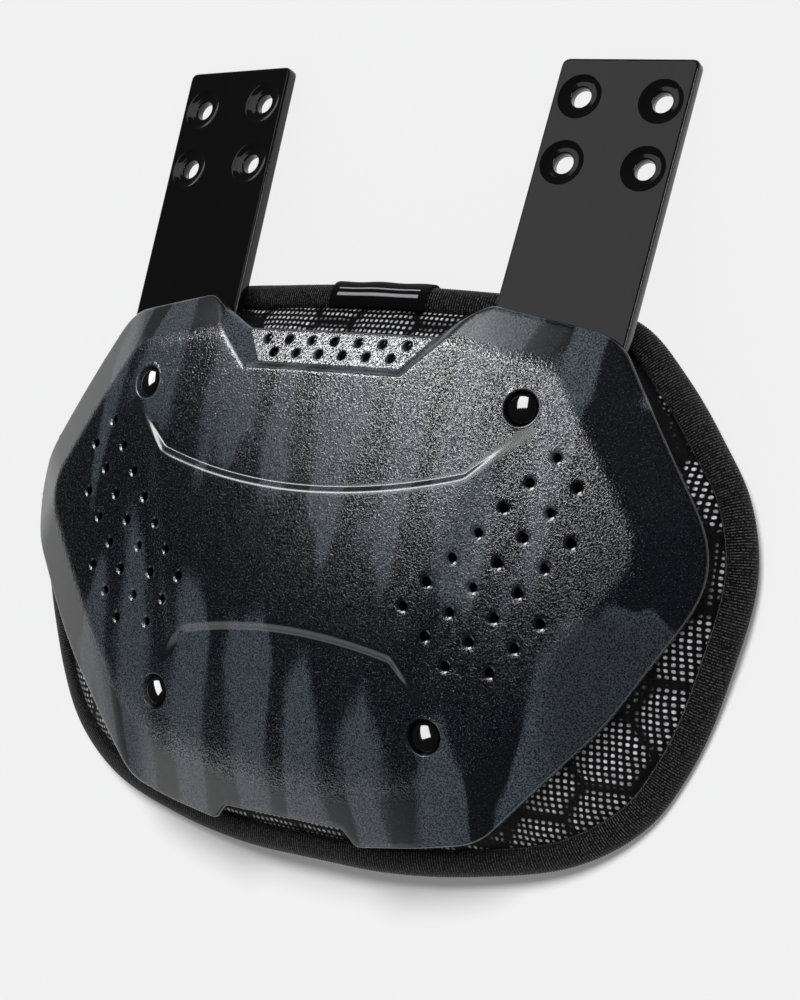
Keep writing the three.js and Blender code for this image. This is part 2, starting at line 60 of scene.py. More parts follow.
# Moulded shell
SHELL_WALL = 2.6
SHELL_SPAN = ((-158, -102), (158, 95))
FRONT = {"crown": 9, "across": 0.00093, "along": 0.00105, "middle": 15}
FACETS = [
    {"name": "tower", "x": 70.4, "y": 74.4, "facing": 81.4, "fall": 0.46},
    {"name": "upper side", "x": 110.3, "y": 45.9, "facing": 34.6, "fall": 0.6},
    {"name": "widest point", "x": 129.5, "y": 10, "facing": 0, "fall": 0.72},
    {"name": "lower side", "x": 107, "y": -23.9, "facing": -35.2, "fall": 0.55},
    {"name": "lower corner", "x": 77, "y": -61.5, "facing": -49.4, "fall": 0.42},
]
BOTTOM_FACET = {"y": -77.6, "bow": 0.00185, "fall": 0.36}
SHELL_CORNERS = [
    {"x": 41.8, "y": 81.1, "round": 0.5},
    {"x": 61.8, "y": 93.5, "round": 3},
    {"x": 108.8, "y": 85.4, "round": 9},
    {"x": 155.8, "y": 10.8, "round": 26},
    {"x": 120.5, "y": -45.5, "round": 12},
    {"x": 78.6, "y": -91.8, "round": 8},
    {"x": 56.8, "y": -96.8, "round": 8},
    {"x": 31.8, "y": -100.6, "round": 1.5},
    {"x": 26.2, "y": -94.9, "round": 1},
]
RECESS = {"y": 67.5, "height": 1.6, "slope": -0.37, "half_width": 31, "flare": 0.827, "sink": 1.1}
RECESS_WALL = {"lower_run": 0.42, "side_run": 1.28}
PANEL = {"height": 1.9, "fade": 0.22}
PANEL_TOP = {"end_x": 87, "end_y": 49.7, "knee_x": 67, "knee_y": 32.5, "middle_y": 22.8, "wall": 2.1}
PANEL_FOOT = {"end_x": 57, "end_y": -44, "knee_x": 46, "knee_y": -33, "middle_y": -28, "wall": 2.3}
VENT = {"radius": 1.75, "pitch": 16.5, "edge": 0.85, "slope": 0.38, "sides": 24}
VENT_ROWS = [
    {"y": 41.9, "x": 98.2, "count": 1},
    {"y": 32.6, "x": 106.7, "count": 2},
    {"y": 23.3, "x": 98.6, "count": 2},
    {"y": 14, "x": 107.1, "count": 3},
    {"y": 4.6, "x": 98.9, "count": 3},
    {"y": -4.6, "x": 90.9, "count": 3},
    {"y": -13.9, "x": 99.6, "count": 4},
    {"y": -23.1, "x": 91.3, "count": 3},
    {"y": -32.4, "x": 83.2, "count": 2},
]
RECESS_HOLE = {"radius": 1.75, "pitch": 10.4, "edge": 0.3, "slope": 0.6, "sides": 20}
RECESS_ROWS = [{"y": 76.9, "count": 7}, {"y": 71.8, "count": 6}]

# How softly the shell's faces run into each other, as a height, and how its edges are rounded
CREASE_BLEND = 0.75
FACET_BLEND = 1.6
RECESS_BLEND = {"floor": 0.6, "edge": 2.4}
STEP_EASE = {"foot": 0.18, "edge": 0.5}
STEP_POLISH = (2.6, 1.7)
RIM_ROUND = 1.0
REAR_ROUND = 0.5

# Where the shell is grained: heights below the front, above the recess and between its floor and walls.
# An edge that drops further than this below its face is polished
GRAIN_EDGE = {"front": (2.0, 0.4), "recess": (0.2, 1.8), "walls": (0.1, 0.8), "floor": (0.8, 0.1)}
POLISHED_DROP = 0.05

# The shell's mesh: steps of its lattices and lines, the share of a step that lattices stay clear of other
# points, and where rows of points run beside an edge, a step or a crease. A crease is followed as far as
# it reaches, while it is near the front, to an inset from the outline
SHELL_GRID = {"front": 1.1, "recess": 0.75, "rear": 5.0, "rim": 1.5, "step": 1.3}
SHELL_CLEAR = {"front": 0.62, "recess": 0.6, "rear": 0.5}
RECESS_SPAN = ((-50, 62), (50, 83))
RIM_SHARES = (0.06, 0.22, 0.5, 1.0)
CHAMFER_SHARES = (0.08, 0.5, 0.92, 1.0)
STEP_SHARES = (-0.8, -0.62, -0.52, -0.44, -0.3, -0.1, 0.1, 0.28, 0.4, 0.52, 0.66, 0.82)
CREASE_SHIFTS = (-1.7, -1.1, -0.65, -0.3, 0.0, 0.3, 0.65, 1.1, 1.7)
CREASE = {"reach": 90, "near": 0.05, "inset": 2.0}

# Rivets in their seats. A profile's columns are radius and height above the shell's face, and the skirt's
# are counted from the head's rim. A rivet's room is the depth at which the pad stays clear of its tail
RIVETS = [
    {"name": "rivet_top", "x": 82.9, "y": 57.6, "holds": "strap", "room": 18.5},
    {"name": "rivet_bottom", "x": 60.5, "y": -57.6, "holds": "pad", "room": 12.5},
]
SEAT = {"reach": 7.1, "floor": -3.0, "boss": 9.2, "boss_depth": 6.0, "bore": 3.3, "sides": 48}
SEAT_LIP = [(7.03, -0.02), (6.5, -0.18), (6.43, -0.24), (6.37, -0.7), (6.3, -2.6), (6.05, -2.95)]
HEAD = {"radius": 5.6, "seat": -2.7, "rim": -1.75, "proud": 0.4, "steps": 12, "sides": 56}
HEAD_SKIRT = [(0.0, -0.1), (0.25, -0.25), (0.3, -0.6)]
TAIL = {"shank": 3.0, "collar": 5.2, "washer": 1.2, "stub": 4.2, "gap": 0.3, "strap_gap": 1.3}

# Mounting straps, in their own axes from the middle of the bolt holes. The columns of the dish round a
# hole are radius and height
STRAP = {"width": 53.0, "thickness": 4.8, "above": 28.2, "below": 117.3, "round": 3.0, "skew": 0.045}
STRAP_NORMAL = (0.0828, 0.1891, 1.0)
STRAP_LEAN = 0.056
STRAP_EDGE = 0.9
STRAP_MARGIN = 0.12
STRAP_GRID = {"rim": 1.2, "face": 4.0, "clear": 0.5, "edge": 5}
STRAP_SPAN = ((-25, -116), (25, 27))
BOLT = {"across": 31.75, "along": 25.4, "bore": 3.9, "reach": 8.7, "rear": 0.4, "sides": 48}
BOLT_DISH = [(8.3, -0.05), (7.95, -0.2), (6.3, -0.8), (5.75, -0.92), (4.4, -0.95), (4.05, -1.05)]
BOLT_DISH_FOOT = -1.35

# Padded backing
BACKING_OUTLINE = [
    {"x": 0, "y": 102.8},
    {"x": 45, "y": 101.9},
    {"x": 80, "y": 100.2},
    {"x": 103.6, "y": 93.9},
    {"x": 123, "y": 76.7},
    {"x": 141, "y": 55.6},
    {"x": 153.1, "y": 36.8},
    {"x": 158.9, "y": 10},
    {"x": 152.3, "y": -27.9},
    {"x": 141.3, "y": -58.5},
    {"x": 128.2, "y": -78.8},
    {"x": 104.6, "y": -95.3},
    {"x": 67, "y": -105.6},
    {"x": 33, "y": -110.2},
    {"x": 0, "y": -110.6},
]
BACKING = {"depth": 14, "across": 0.00098, "along": 0.00095, "middle": 15}
BACKING_BEND = {"depth": 9, "y": (40, 92)}
BACKING_TUCK = {"depth": 2, "y": (-10, -50)}
PAD = {"inset": 1.5, "crown": 10.5, "crown_inset": 14.0, "belly": 1.5, "clear": 1.2, "waist": 0.9}
PAD_GRID = {"face": 1.9, "clear": 0.6, "margin": 0.4, "stations": 420, "crown_stations": 240, "cover": 3.0}
PAD_SPAN = ((-158, -112), (158, 104))
# How steeply the pad's front rises beside the straps and the rivets' tails, from a margin outwards
PAD_ROOM = {"strap": 1.4, "rivet": 2.5, "margin": 1.0, "step": 4.0}

# The pad's section from its rim inwards: inset, half thickness
PAD_SECTION = [(0, 0.9), (2, 2.0), (7.5, 2.3), (8.4, 2.7), (9.6, 3.9), (11.5, 5.4), (14, 6.6), (17, 7.0)]
PAD_RIM_ROWS = [1.0, 2.0, 4.5, 7.5, 8.4, 9.6, 11.0, 12.6]
QUILT = {"cell": 25.6, "x": 139.5, "y": -41.1, "puff": 1.5, "soft": 3.6, "sunk": 0.7, "rim": (9, 15)}
# The cover's pale dots, and how far from a seam and from the rim they begin to show and are whole. Under
# the shell's edge the dots are darkened over a depth, as painted shade
MESH_DOT = {"pitch": 2.2, "radius": 0.58, "square": 2.6, "painted_shade_under_shell": 3.0}
MESH_OPEN = {"seam": (0.6, 2.6), "inset": (8.0, 8.7)}

# Tape round the rim: its section as inset and height, out from the pad's edge, and its ribs
BINDING = {"thickness": 1.0, "row": 2.0, "rib_pitch": 1.05, "rib": 0.24, "steps_per_rib": 4}
BINDING_SECTION = [
    (7.9, 2.9), (7.6, 3.5), (6.5, 3.9), (4.5, 4.05), (2.4, 3.8),
    (0.6, 3.2), (-0.7, 2.2), (-1.35, 1.1), (-1.5, 0.0),
]
STITCH = {"inset": 7.0, "length": 2.3, "pitch": 3.4, "radius": 0.22, "lift": 3.85, "dip": 0.25, "sides": 6}
# A stitch's shape along it: place and fatness, as shares
STITCH_SHAPE = [(-0.5, 0.25), (-0.4, 0.8), (0, 1.0), (0.4, 0.8), (0.5, 0.25)]
LABEL = {"half_width": 21.5, "thickness": 0.8, "gap": 0.3, "row": 1.2, "steps": 48, "stations": 1200}
# The label's wave, in turns over half its width and skewed from row to row, and its lines as shares
LABEL_WAVE = {"height": 0.175, "turns": 1.1, "skew": 0.08}
LABEL_LINES = [{"at": 0.2, "half": 0.022}, {"at": 0.29, "half": 0.01}]
LABEL_LINE_END = (18.4, 18.0)
LABEL_SECTION = [
    (8.0, 3.8), (7.0, 4.3), (5.6, 4.6), (4.0, 4.75), (2.2, 4.5),
    (0.4, 3.85), (-1.0, 2.7), (-1.8, 1.3), (-2.0, 0.0),
]

# The print: upright bars with uneven, swaying sides, which end short of a dark band across the middle of
# the shell. The bars' pitch, the band's middle, and how far from it they begin and are whole
PRINT = {"bar": 29.0, "sway": 1.5, "ragged": 50.0, "middle": -10.0, "tilt": 0.4, "dark": 6.0, "full": 38.0}
# Sides that it leaves dark: out from the middle, up from the lower corners and down from the towers
PRINT_SIDE = {"x": (98.0, 114.0), "y": (-30.0, -8.0), "tower_y": (64.0, 52.0)}
# Where the band, going in from the sides, begins to tilt
PRINT_LEAN = (106.0, 86.0)
# The lower right corner that it covers whole
PRINT_CORNER = {"x": (92.0, 112.0), "y": (12.0, -20.0), "dim": 0.5}
# How much each part of the pattern counts, and the sum at which the print begins and is whole
PRINT_WEIGHT = {"bars": 0.32, "uneven": 0.9, "away": 0.75, "corner": 1.8, "speck": (0.35, 1.1)}
PRINT_EDGE = (0.60, 0.72)

# The shell's grain: its sizes and depth, its bump and roughness off the grain and on it, and how the
# pebbles change its gloss
GRAIN = {"pebble": 0.62, "cell": 0.66, "depth": 0.25, "polish": 0.13}
GRAIN_BUMP = (0.02, 0.6)
GRAIN_ROUGH = (0.22, 0.16)
GRAIN_GLOSS = {"pebble": (0.53, 0.92), "change": (-0.47, 0.5)}

# Colours, the first nine as a darker and a paler tone that noise mixes
SLATE = ((0.012, 0.018, 0.025, 1), (0.078, 0.096, 0.116, 1))
NAVY = ((0.0006, 0.0009, 0.0018, 1), (0.0042, 0.0060, 0.0095, 1))
STRAP_BLACK = ((0.0016, 0.0016, 0.002, 1), (0.003, 0.003, 0.0035, 1))
RIVET_BLACK = ((0.0016, 0.0016, 0.0019, 1), (0.003, 0.003, 0.0034, 1))
MESH_BLACK = ((0.0018, 0.0018, 0.0021, 1), (0.0065, 0.0065, 0.0075, 1))
KNIT_BLACK = ((0.0022, 0.0022, 0.0025, 1), (0.0036, 0.0036, 0.004, 1))
THREAD_BLACK = ((0.004, 0.004, 0.0045, 1), (0.014, 0.014, 0.015, 1))
LABEL_BLACK = ((0.0026, 0.0026, 0.003, 1), (0.0048, 0.0048, 0.0054, 1))
FLOOR_WHITE = ((0.62, 0.62, 0.622, 1), (0.63, 0.63, 0.632, 1))
FLECK_GREY = (0.11, 0.13, 0.155, 1)
DOT_WHITE = (0.8, 0.8, 0.83, 1)
# Painted highlight on the tape's rib crests
CREST_HIGHLIGHT_GREY = (0.12, 0.12, 0.125, 1)
LINE_GREY = (0.36, 0.36, 0.38, 1)

# Camera, found from the photograph: turned round the plate, tipped and rolled, in degrees
CAMERA = {"turn": 34.074, "tip": -2.233, "roll": 7.349, "distance": 774.71, "focal_px": 2219.32}
CAMERA_TARGET = np.array([38.336, 22.491, 0.0])
CAMERA_BACK = np.array([
    math.sin(math.radians(CAMERA["turn"])) * math.cos(math.radians(CAMERA["tip"])),
    math.sin(math.radians(CAMERA["tip"])),
    math.cos(math.radians(CAMERA["turn"])) * math.cos(math.radians(CAMERA["tip"])),
])
CAMERA_PLACE = CAMERA_TARGET + CAMERA_BACK * CAMERA["distance"]
IMAGE_LONG_SIDE = 1000
SENSOR = 36.0

# Distant lights for matt colour and shadows: where from, and how wide in degrees
FAR_LIGHTS = [
    {"name": "floor_light", "from": (0.12, 0.5, 0.86), "strength": 3.82, "width": 25, "on": "floor"},
    {"name": "matt_light", "from": (0.28, 0.5, 0.82), "strength": 2.6, "width": 60, "on": "plate"},
    {"name": "matt_back_light", "from": (-0.5, -0.75, 0.3), "strength": 0.6, "width": 90, "on": "plate"},
]
FAR_DISTANCE = 2000.0

# Softboxes, which are only seen in gloss: places, sizes, brightness, what they light and where they aim
SHELL_TARGET = (0, 20, 0)
STRAP_TARGET = (86, 160, -30)
SOFTBOXES = [
    {"name": "recess_softbox", "place": (-730, 900, 900), "size": (700, 500), "glow": 18, "on": "shell"},
    {"name": "low_card", "place": (-700, -900, 420), "size": (1000, 700), "glow": 1.4, "on": "front"},
    {"name": "strap_panel", "place": (-520, 690, 900), "size": (620, 560), "glow": 0.95, "on": "straps"},
    {"name": "strap_edge_strip", "place": (1300, 500, 800), "size": (160, 900), "glow": 18, "on": "straps"},
]

# Narrow upright strips whose sheen lies on the shell's front, in one plane
SHEEN = {"width": 36, "z": 900, "glow": 26.0}
SHEEN_STRIPS = [
    {"x": -500, "low": 85, "high": 640},
    {"x": -290, "low": 60, "high": 640},
    {"x": -80, "low": 70, "high": 640},
    {"x": 50, "low": 280, "high": 640},
    {"x": 80, "low": 0, "high": 70},
]

# A softbox for each rivet: the slopes of the heads where it is seen, to the right and up, and its size
RIVET_SPARK = {"left": (0.19, 0.18), "right": (0.04, 0.21)}
SPARK = {"distance": 1400.0, "size": (1150, 790), "glow": 20, "long_way": (-0.1, 0.8, -0.6)}

# The floor's half width in metres, the share of its light that is its own glow, and the world's light
FLOOR_HALF = 40.0
FLOOR_GLOW = 0.3
WORLD_LIGHT = 0.07


def to_frame(points):
    return (np.asarray(points, float) + PLATE_ORIGIN) * MM


# Numbers

def smoothstep(low, high, value):
    share = np.clip((value - low) / (high - low), 0, 1)
    return share * share * (3 - 2 * share)


def smooth_min(a, b, blend):
    """The lower of two heights, rounded off where they meet."""
    near = np.clip(1 - np.abs(a - b) / blend, 0, 1)
    return np.minimum(a, b) - near**2 * blend / 4


def unit(vector):
    vector = np.asarray(vector, float)
    return vector / np.linalg.norm(vector)


def smooth_max(a, b, blend):
    return -smooth_min(-a, -b, blend)


def edge_drop(distance, radius):
    """How far a rounded edge lies below its face, at a distance in from the edge."""
    short = np.clip(radius - distance, 0, radius)
    return radius - np.sqrt(radius**2 - short**2)


def mirrored(rows):
    return [{**row, "x": -row["x"]} for row in reversed(rows)]


# Lines in the plane

def lengths_along(line):
    return np.concatenate([[0], np.cumsum(np.linalg.norm(np.diff(line, axis=0), axis=1))])


def even_points(line, step, closed=False):
    """Points about a step apart along a line of points."""
    line = np.asarray(line, float)
    if closed:
        line = np.vstack([line, line[:1]])
    lengths = lengths_along(line)
    count = max(2, round(lengths[-1] / step))
    at = np.linspace(0, lengths[-1], count + 1)
    if closed:
        at = at[:-1]
    return np.stack([np.interp(at, lengths, line[:, k]) for k in range(line.shape[1])], 1)


def eased_ring(corners, step):
    """A closed polygon with each corner eased by a curve that takes its own length off both sides."""
    places = np.array([(c["x"], c["y"]) for c in corners], float)
    line = []
    for here, before, after, corner in zip(places, np.roll(places, 1, 0), np.roll(places, -1, 0), corners):
        start = here + unit(before - here) * corner["round"]
        end = here + unit(after - here) * corner["round"]
        for t in np.linspace(0, 1, CURVE_STEPS["corner"]):
            line.append((1 - t) ** 2 * start + 2 * t * (1 - t) * here + t**2 * end)
    return even_points(line, step, closed=True)


def closed_length(line):
    return np.linalg.norm(np.roll(line, -1, 0) - line, axis=1).sum()


def ring_normals(ring):
    """Unit directions to the left of a closed ring, which is inwards where it runs counter-clockwise."""
    along = np.roll(ring, -1, 0) - np.roll(ring, 1, 0)
    left = np.stack([-along[:, 1], along[:, 0]], 1)
    return left / np.linalg.norm(left, axis=1)[:, None]


def line_normals(line):
    """Unit directions to the left of an open line."""
    left = ring_normals(line)
    left[[0, -1]] = left[[1, -2]]
    return left


def distance_to(points, line, closed=False):
    """Distance of each point from a line of points."""
    ends = np.roll(line, -1, 0) if closed else line[1:]
    starts = line if closed else line[:-1]
    along = ends - starts
    lengths = (along**2).sum(1)
    nearest = []
    for block in np.array_split(points, max(1, len(points) // BLOCK)):
        toward = block[:, None] - starts[None]
        share = np.clip((toward * along).sum(2) / lengths, 0, 1)
        off = toward - share[..., None] * along
        nearest.append(np.sqrt((off**2).sum(2).min(1)))
    return np.concatenate(nearest)


def inside(points, ring):
    """Which points lie inside a closed ring."""
    found = np.zeros(len(points), bool)
    x, y = points.T
    for (ax, ay), (bx, by) in zip(ring, np.roll(ring, -1, 0)):
        crosses = (ay > y) != (by > y)
        rise = by - ay if by != ay else 1.0
        found ^= crosses & (x < (bx - ax) * (y - ay) / rise + ax)
    return found


def circle(radius, sides):
    angle = np.arange(sides) * 2 * np.pi / sides
    return np.stack([radius * np.cos(angle), radius * np.sin(angle)], 1)


def raised(flat, height):
    return np.column_stack([flat, np.broadcast_to(height, len(flat))])


def ring_at(radius, height, sides):
    return raised(circle(radius, sides), height)


def lattice(low, high, step, seed):
    """A triangular lattice over a rectangle, very slightly shaken so that no four points share a circle."""
    rows = np.arange(low[1], high[1], step * math.sqrt(3) / 2)
    columns = np.arange(low[0], high[0], step)
    points = [(x + step / 2 * (k % 2), y) for k, y in enumerate(rows) for x in columns]
    shake = np.random.default_rng(seed).uniform(-LATTICE_SHAKE, LATTICE_SHAKE, (len(points), 2))
    return np.array(points) + shake * step


def clear_of(points, others, distance):
    """The points that lie further than a distance from all the others."""
    tree = KDTree(len(others))
    for k, (x, y) in enumerate(others):
        tree.insert((x, y, 0), k)
    tree.balance()
    return points[[tree.find((x, y, 0))[2] > distance for x, y in points]]


def filling(ring, others, span, step, share, seed):
    """A lattice's points inside a ring, a share of its step clear of others."""
    points = lattice(*span, step, seed)
    return clear_of(points[inside(points, ring)], others, step * share)


# Meshes

class Skin:
    """Points and faces of one piece, gathered patch by patch."""

    def __init__(self):
        self.points = []
        self.faces = []
        self.count = 0

    def add(self, points):
        points = np.asarray(points, float).reshape(-1, 3)
        numbers = np.arange(self.count, self.count + len(points))
        self.points.append(points)
        self.count += len(points)
        return numbers

    def strip(self, low, high, closed=True):
        """Quads between two lines with the same number of points."""
        a, b = np.asarray(low), np.asarray(high)
        quads = np.stack([a, np.roll(a, -1), np.roll(b, -1), b], 1)
        self.faces += (quads if closed else quads[:-1]).tolist()

    def chain(self, rows, closed=True):
        for low, high in zip(rows, rows[1:]):
            self.strip(low, high, closed)

    def fan(self, ring, middle):
        numbers = np.asarray(ring)
        top = self.add(middle)[0]
        self.faces += [[a, b, top] for a, b in zip(numbers, np.roll(numbers, -1))]

    def patch(self, rings, loose, height):
        """Triangles over loose points, inside the first of some closed rings and outside the others. The
        heights are the rings' and then the loose points'. Gives the numbers of each ring's points."""
        flat = np.concatenate([*rings, loose])
        ends = np.cumsum([len(ring) for ring in rings])
        parts = np.split(np.arange(ends[-1]), ends[:-1])
        edges = np.concatenate([np.stack([part, np.roll(part, -1)], 1) for part in parts]).tolist()
        made = delaunay_2d_cdt([Vector(p) for p in flat], edges, [], 0, WELD)
        source = [ids[0] for ids in made[3]]
        triangles = np.array([[source[k] for k in face] for face in made[2]])
        middles = flat[triangles].mean(1)
        kept = inside(middles, rings[0])
        for ring in rings[1:]:
            reach = np.linalg.norm(ring - ring.mean(0), axis=1).max()
            near = np.linalg.norm(middles - ring.mean(0), axis=1) < reach
            kept[near] &= ~inside(middles[near], ring)
        numbers = self.add(raised(flat, height))
        self.faces += numbers[triangles[kept]].tolist()
        return [numbers[part] for part in parts]

    def piece(self, name, material, slot, nodes=(), values=None):
        """Makes the Blender piece, facing outwards, riding on the frame and standing for its CAD nodes."""
        points = to_frame(np.concatenate(self.points))
        mesh = bpy.data.meshes.new(name)
        mesh.from_pydata(points.tolist(), [], self.faces)
        for attribute, numbers in (values or {}).items():
            layer = mesh.attributes.new(attribute, "FLOAT", "POINT")
            layer.data.foreach_set("value", np.asarray(numbers, np.float32))
        shape = bmesh.new()
        shape.from_mesh(mesh)
        bare = [v for v in shape.verts if not v.link_faces]
        bmesh.ops.delete(shape, geom=bare, context="VERTS")
        bmesh.ops.recalc_face_normals(shape, faces=shape.faces)
        shape.to_mesh(mesh)
        shape.free()
        mesh.shade_smooth()
        mesh.materials.append(material)
        thing = bpy.data.objects.new(name, mesh)
        bpy.context.scene.collection.objects.link(thing)
        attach(thing, "root")
        if nodes:
            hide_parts(*nodes)
        return thing


def axes_frame(place, normal, along=np.array([1.0, 0.0, 0.0])):
    """A function that carries points from axes with z along the normal and x near along."""
    z = unit(normal)
    x = unit(along - (along @ z) * z)
    basis = np.stack([x, np.cross(z, x), z])
    return lambda points: np.asarray(points, float) @ basis + np.asarray(place, float)


# Heights of the shell

def front_height(x, y):
    return FRONT["crown"] - FRONT["across"] * x**2 - FRONT["along"] * (y - FRONT["middle"]) ** 2


def facet_height(facet, x, y):
    angle = math.radians(facet["facing"])
    out_x, out_y = math.cos(angle), math.sin(angle)
    past = (np.abs(x) - facet["x"]) * out_x + (y - facet["y"]) * out_y
    return front_height(np.abs(x) - past * out_x, y - past * out_y) - facet["fall"] * past


def bottom_height(x, y):
    crease = BOTTOM_FACET["y"] + BOTTOM_FACET["bow"] * x**2
    return front_height(x, crease) - BOTTOM_FACET["fall"] * (crease - y)


def recess_height(x, y):
    level = RECESS["height"] + RECESS["slope"] * (y - RECESS["y"])
    bow = FRONT["across"] * x**2
    floor = level - bow
    lower = RECESS["height"] - bow + (RECESS["y"] - y) / RECESS_WALL["lower_run"]
    foot = RECESS["half_width"] + RECESS["flare"] * (y - RECESS["y"])
    side = level - RECESS["sink"] + (np.abs(x) - foot) / RECESS_WALL["side_run"]
    walls = smooth_max(lower, side, RECESS_BLEND["floor"])
    return smooth_max(floor, walls, RECESS_BLEND["floor"]), floor - walls


def step_line(edge, step):
    """The curve of one of the panel's steps, from its left end to its right end."""
    knee = np.array([edge["knee_x"], edge["knee_y"]])
    control = np.array([0, 2 * edge["middle_y"] - edge["knee_y"]])
    left = knee * (-1, 1)
    t = np.linspace(0, 1, CURVE_STEPS["step"])[:, None]
    curve = (1 - t) ** 2 * left + 2 * t * (1 - t) * control + t**2 * knee
    ends = [(-edge["end_x"], edge["end_y"])], [(edge["end_x"], edge["end_y"])]
    return even_points(np.vstack([ends[0], curve, ends[1]]), step)


def panel_rise(x, y):
    """How far the raised panel stands above the front, and how near its steps' polished edges are."""
    along = (y - PANEL_FOOT["end_y"]) / (PANEL_TOP["end_y"] - PANEL_FOOT["end_y"])
    reach = PANEL_FOOT["end_x"] + along * (PANEL_TOP["end_x"] - PANEL_FOOT["end_x"])
    rise = smoothstep(0, PANEL["fade"], 1 - np.abs(x) / np.maximum(reach, 1))
    points = np.column_stack([x, y])
    polished = np.zeros(len(points))
    for edge, way in ((PANEL_TOP, -1), (PANEL_FOOT, 1)):
        line = step_line(edge, SHELL_GRID["step"])
        side = np.sign(y - np.interp(x, line[:, 0], line[:, 1])) * way
        distance = distance_to(points, line)
        polished = np.maximum(polished, smoothstep(*STEP_POLISH, distance))
        share = side * distance / edge["wall"] + 0.5
        rise = rise * smooth_min(smooth_max(share, 0, STEP_EASE["foot"]), 1, STEP_EASE["edge"])
    return PANEL["height"] * np.clip(rise, 0, 1), polished


def shell_height(x, y):
    """Height of the shell's outer face, and how much of it is grained: the front and the recess floor."""
    rise, polished = panel_rise(x, y)
    front = front_height(x, y) + rise
    facets = bottom_height(x, y)
    for facet in FACETS:
        facets = smooth_min(facets, facet_height(facet, x, y), FACET_BLEND)
    height = smooth_min(front, facets, CREASE_BLEND)
    recess, on_floor = recess_height(x, y)
    on_front = smoothstep(*GRAIN_EDGE["front"], front - height)
    off_recess = smoothstep(*GRAIN_EDGE["recess"], recess - height)
    floor = smoothstep(*GRAIN_EDGE["walls"], on_floor) * smoothstep(*GRAIN_EDGE["floor"], recess - height)
    grained = np.maximum(on_front * off_recess * (1 - polished), floor)
    return smooth_min(height, recess, RECESS_BLEND["edge"]), grained


def crease_lines(step):
    """The lines along which the facets leave the front, as long as they are the shell's own creases."""
    along = np.arange(-CREASE["reach"], CREASE["reach"], step)
    lines = []
    for facet in FACETS:
        angle = math.radians(facet["facing"])
        x = facet["x"] - along * math.sin(angle)
        y = facet["y"] + along * math.cos(angle)
        lines += [(x * side, y, np.array([math.cos(angle) * side, math.sin(angle)])) for side in (-1, 1)]
    lines.append((along, BOTTOM_FACET["y"] + BOTTOM_FACET["bow"] * along**2, np.array([0.0, -1.0])))
    for x, y, out in lines:
        others = np.minimum(bottom_height(x, y), recess_height(x, y)[0])
        for facet in FACETS:
            others = np.minimum(others, facet_height(facet, x, y))
        shown = front_height(x, y) - others < CREASE["near"]
        yield np.column_stack([x, y])[shown], out


def shell_ring(step):
    """The shell's outline, running counter-clockwise."""
    return eased_ring([*SHELL_CORNERS, *mirrored(SHELL_CORNERS)][::-1], step)


def rivet_places():
    """Each rivet with its side's word and sign, and the function that carries points from its own axes."""
    for rivet in RIVETS:
        for word, side in (("left", -1), ("right", 1)):
            x, y = side * rivet["x"], rivet["y"]
            slope = (2 * FRONT["across"] * x, 2 * FRONT["along"] * (y - FRONT["middle"]), 1)
            carry = axes_frame((x, y, front_height(x, y)), slope)
            yield rivet, word, side, carry


def hole_places():
    for row in VENT_ROWS:
        for k in range(row["count"]):
            for side in (-1, 1):
                yield VENT, side * (row["x"] - k * VENT["pitch"]), row["y"]
    for row in RECESS_ROWS:
        for k in range(row["count"]):
            yield RECESS_HOLE, (k - (row["count"] - 1) / 2) * RECESS_HOLE["pitch"], row["y"]


def chamfer_drop(hole, x, y):
    """How far a hole's chamfer falls all round it. Its slope is kept to the straight way through the wall,
    whatever the slope of the face."""
    reach = hole["radius"] + hole["edge"]
    out = circle(reach, hole["sides"])
    ahead, behind = (shell_height(*(out * way + (x, y)).T)[0] for way in (1, -1))
    face = (ahead - behind) / (2 * reach)
    return hole["edge"] * np.maximum(hole["slope"] - face, 0)


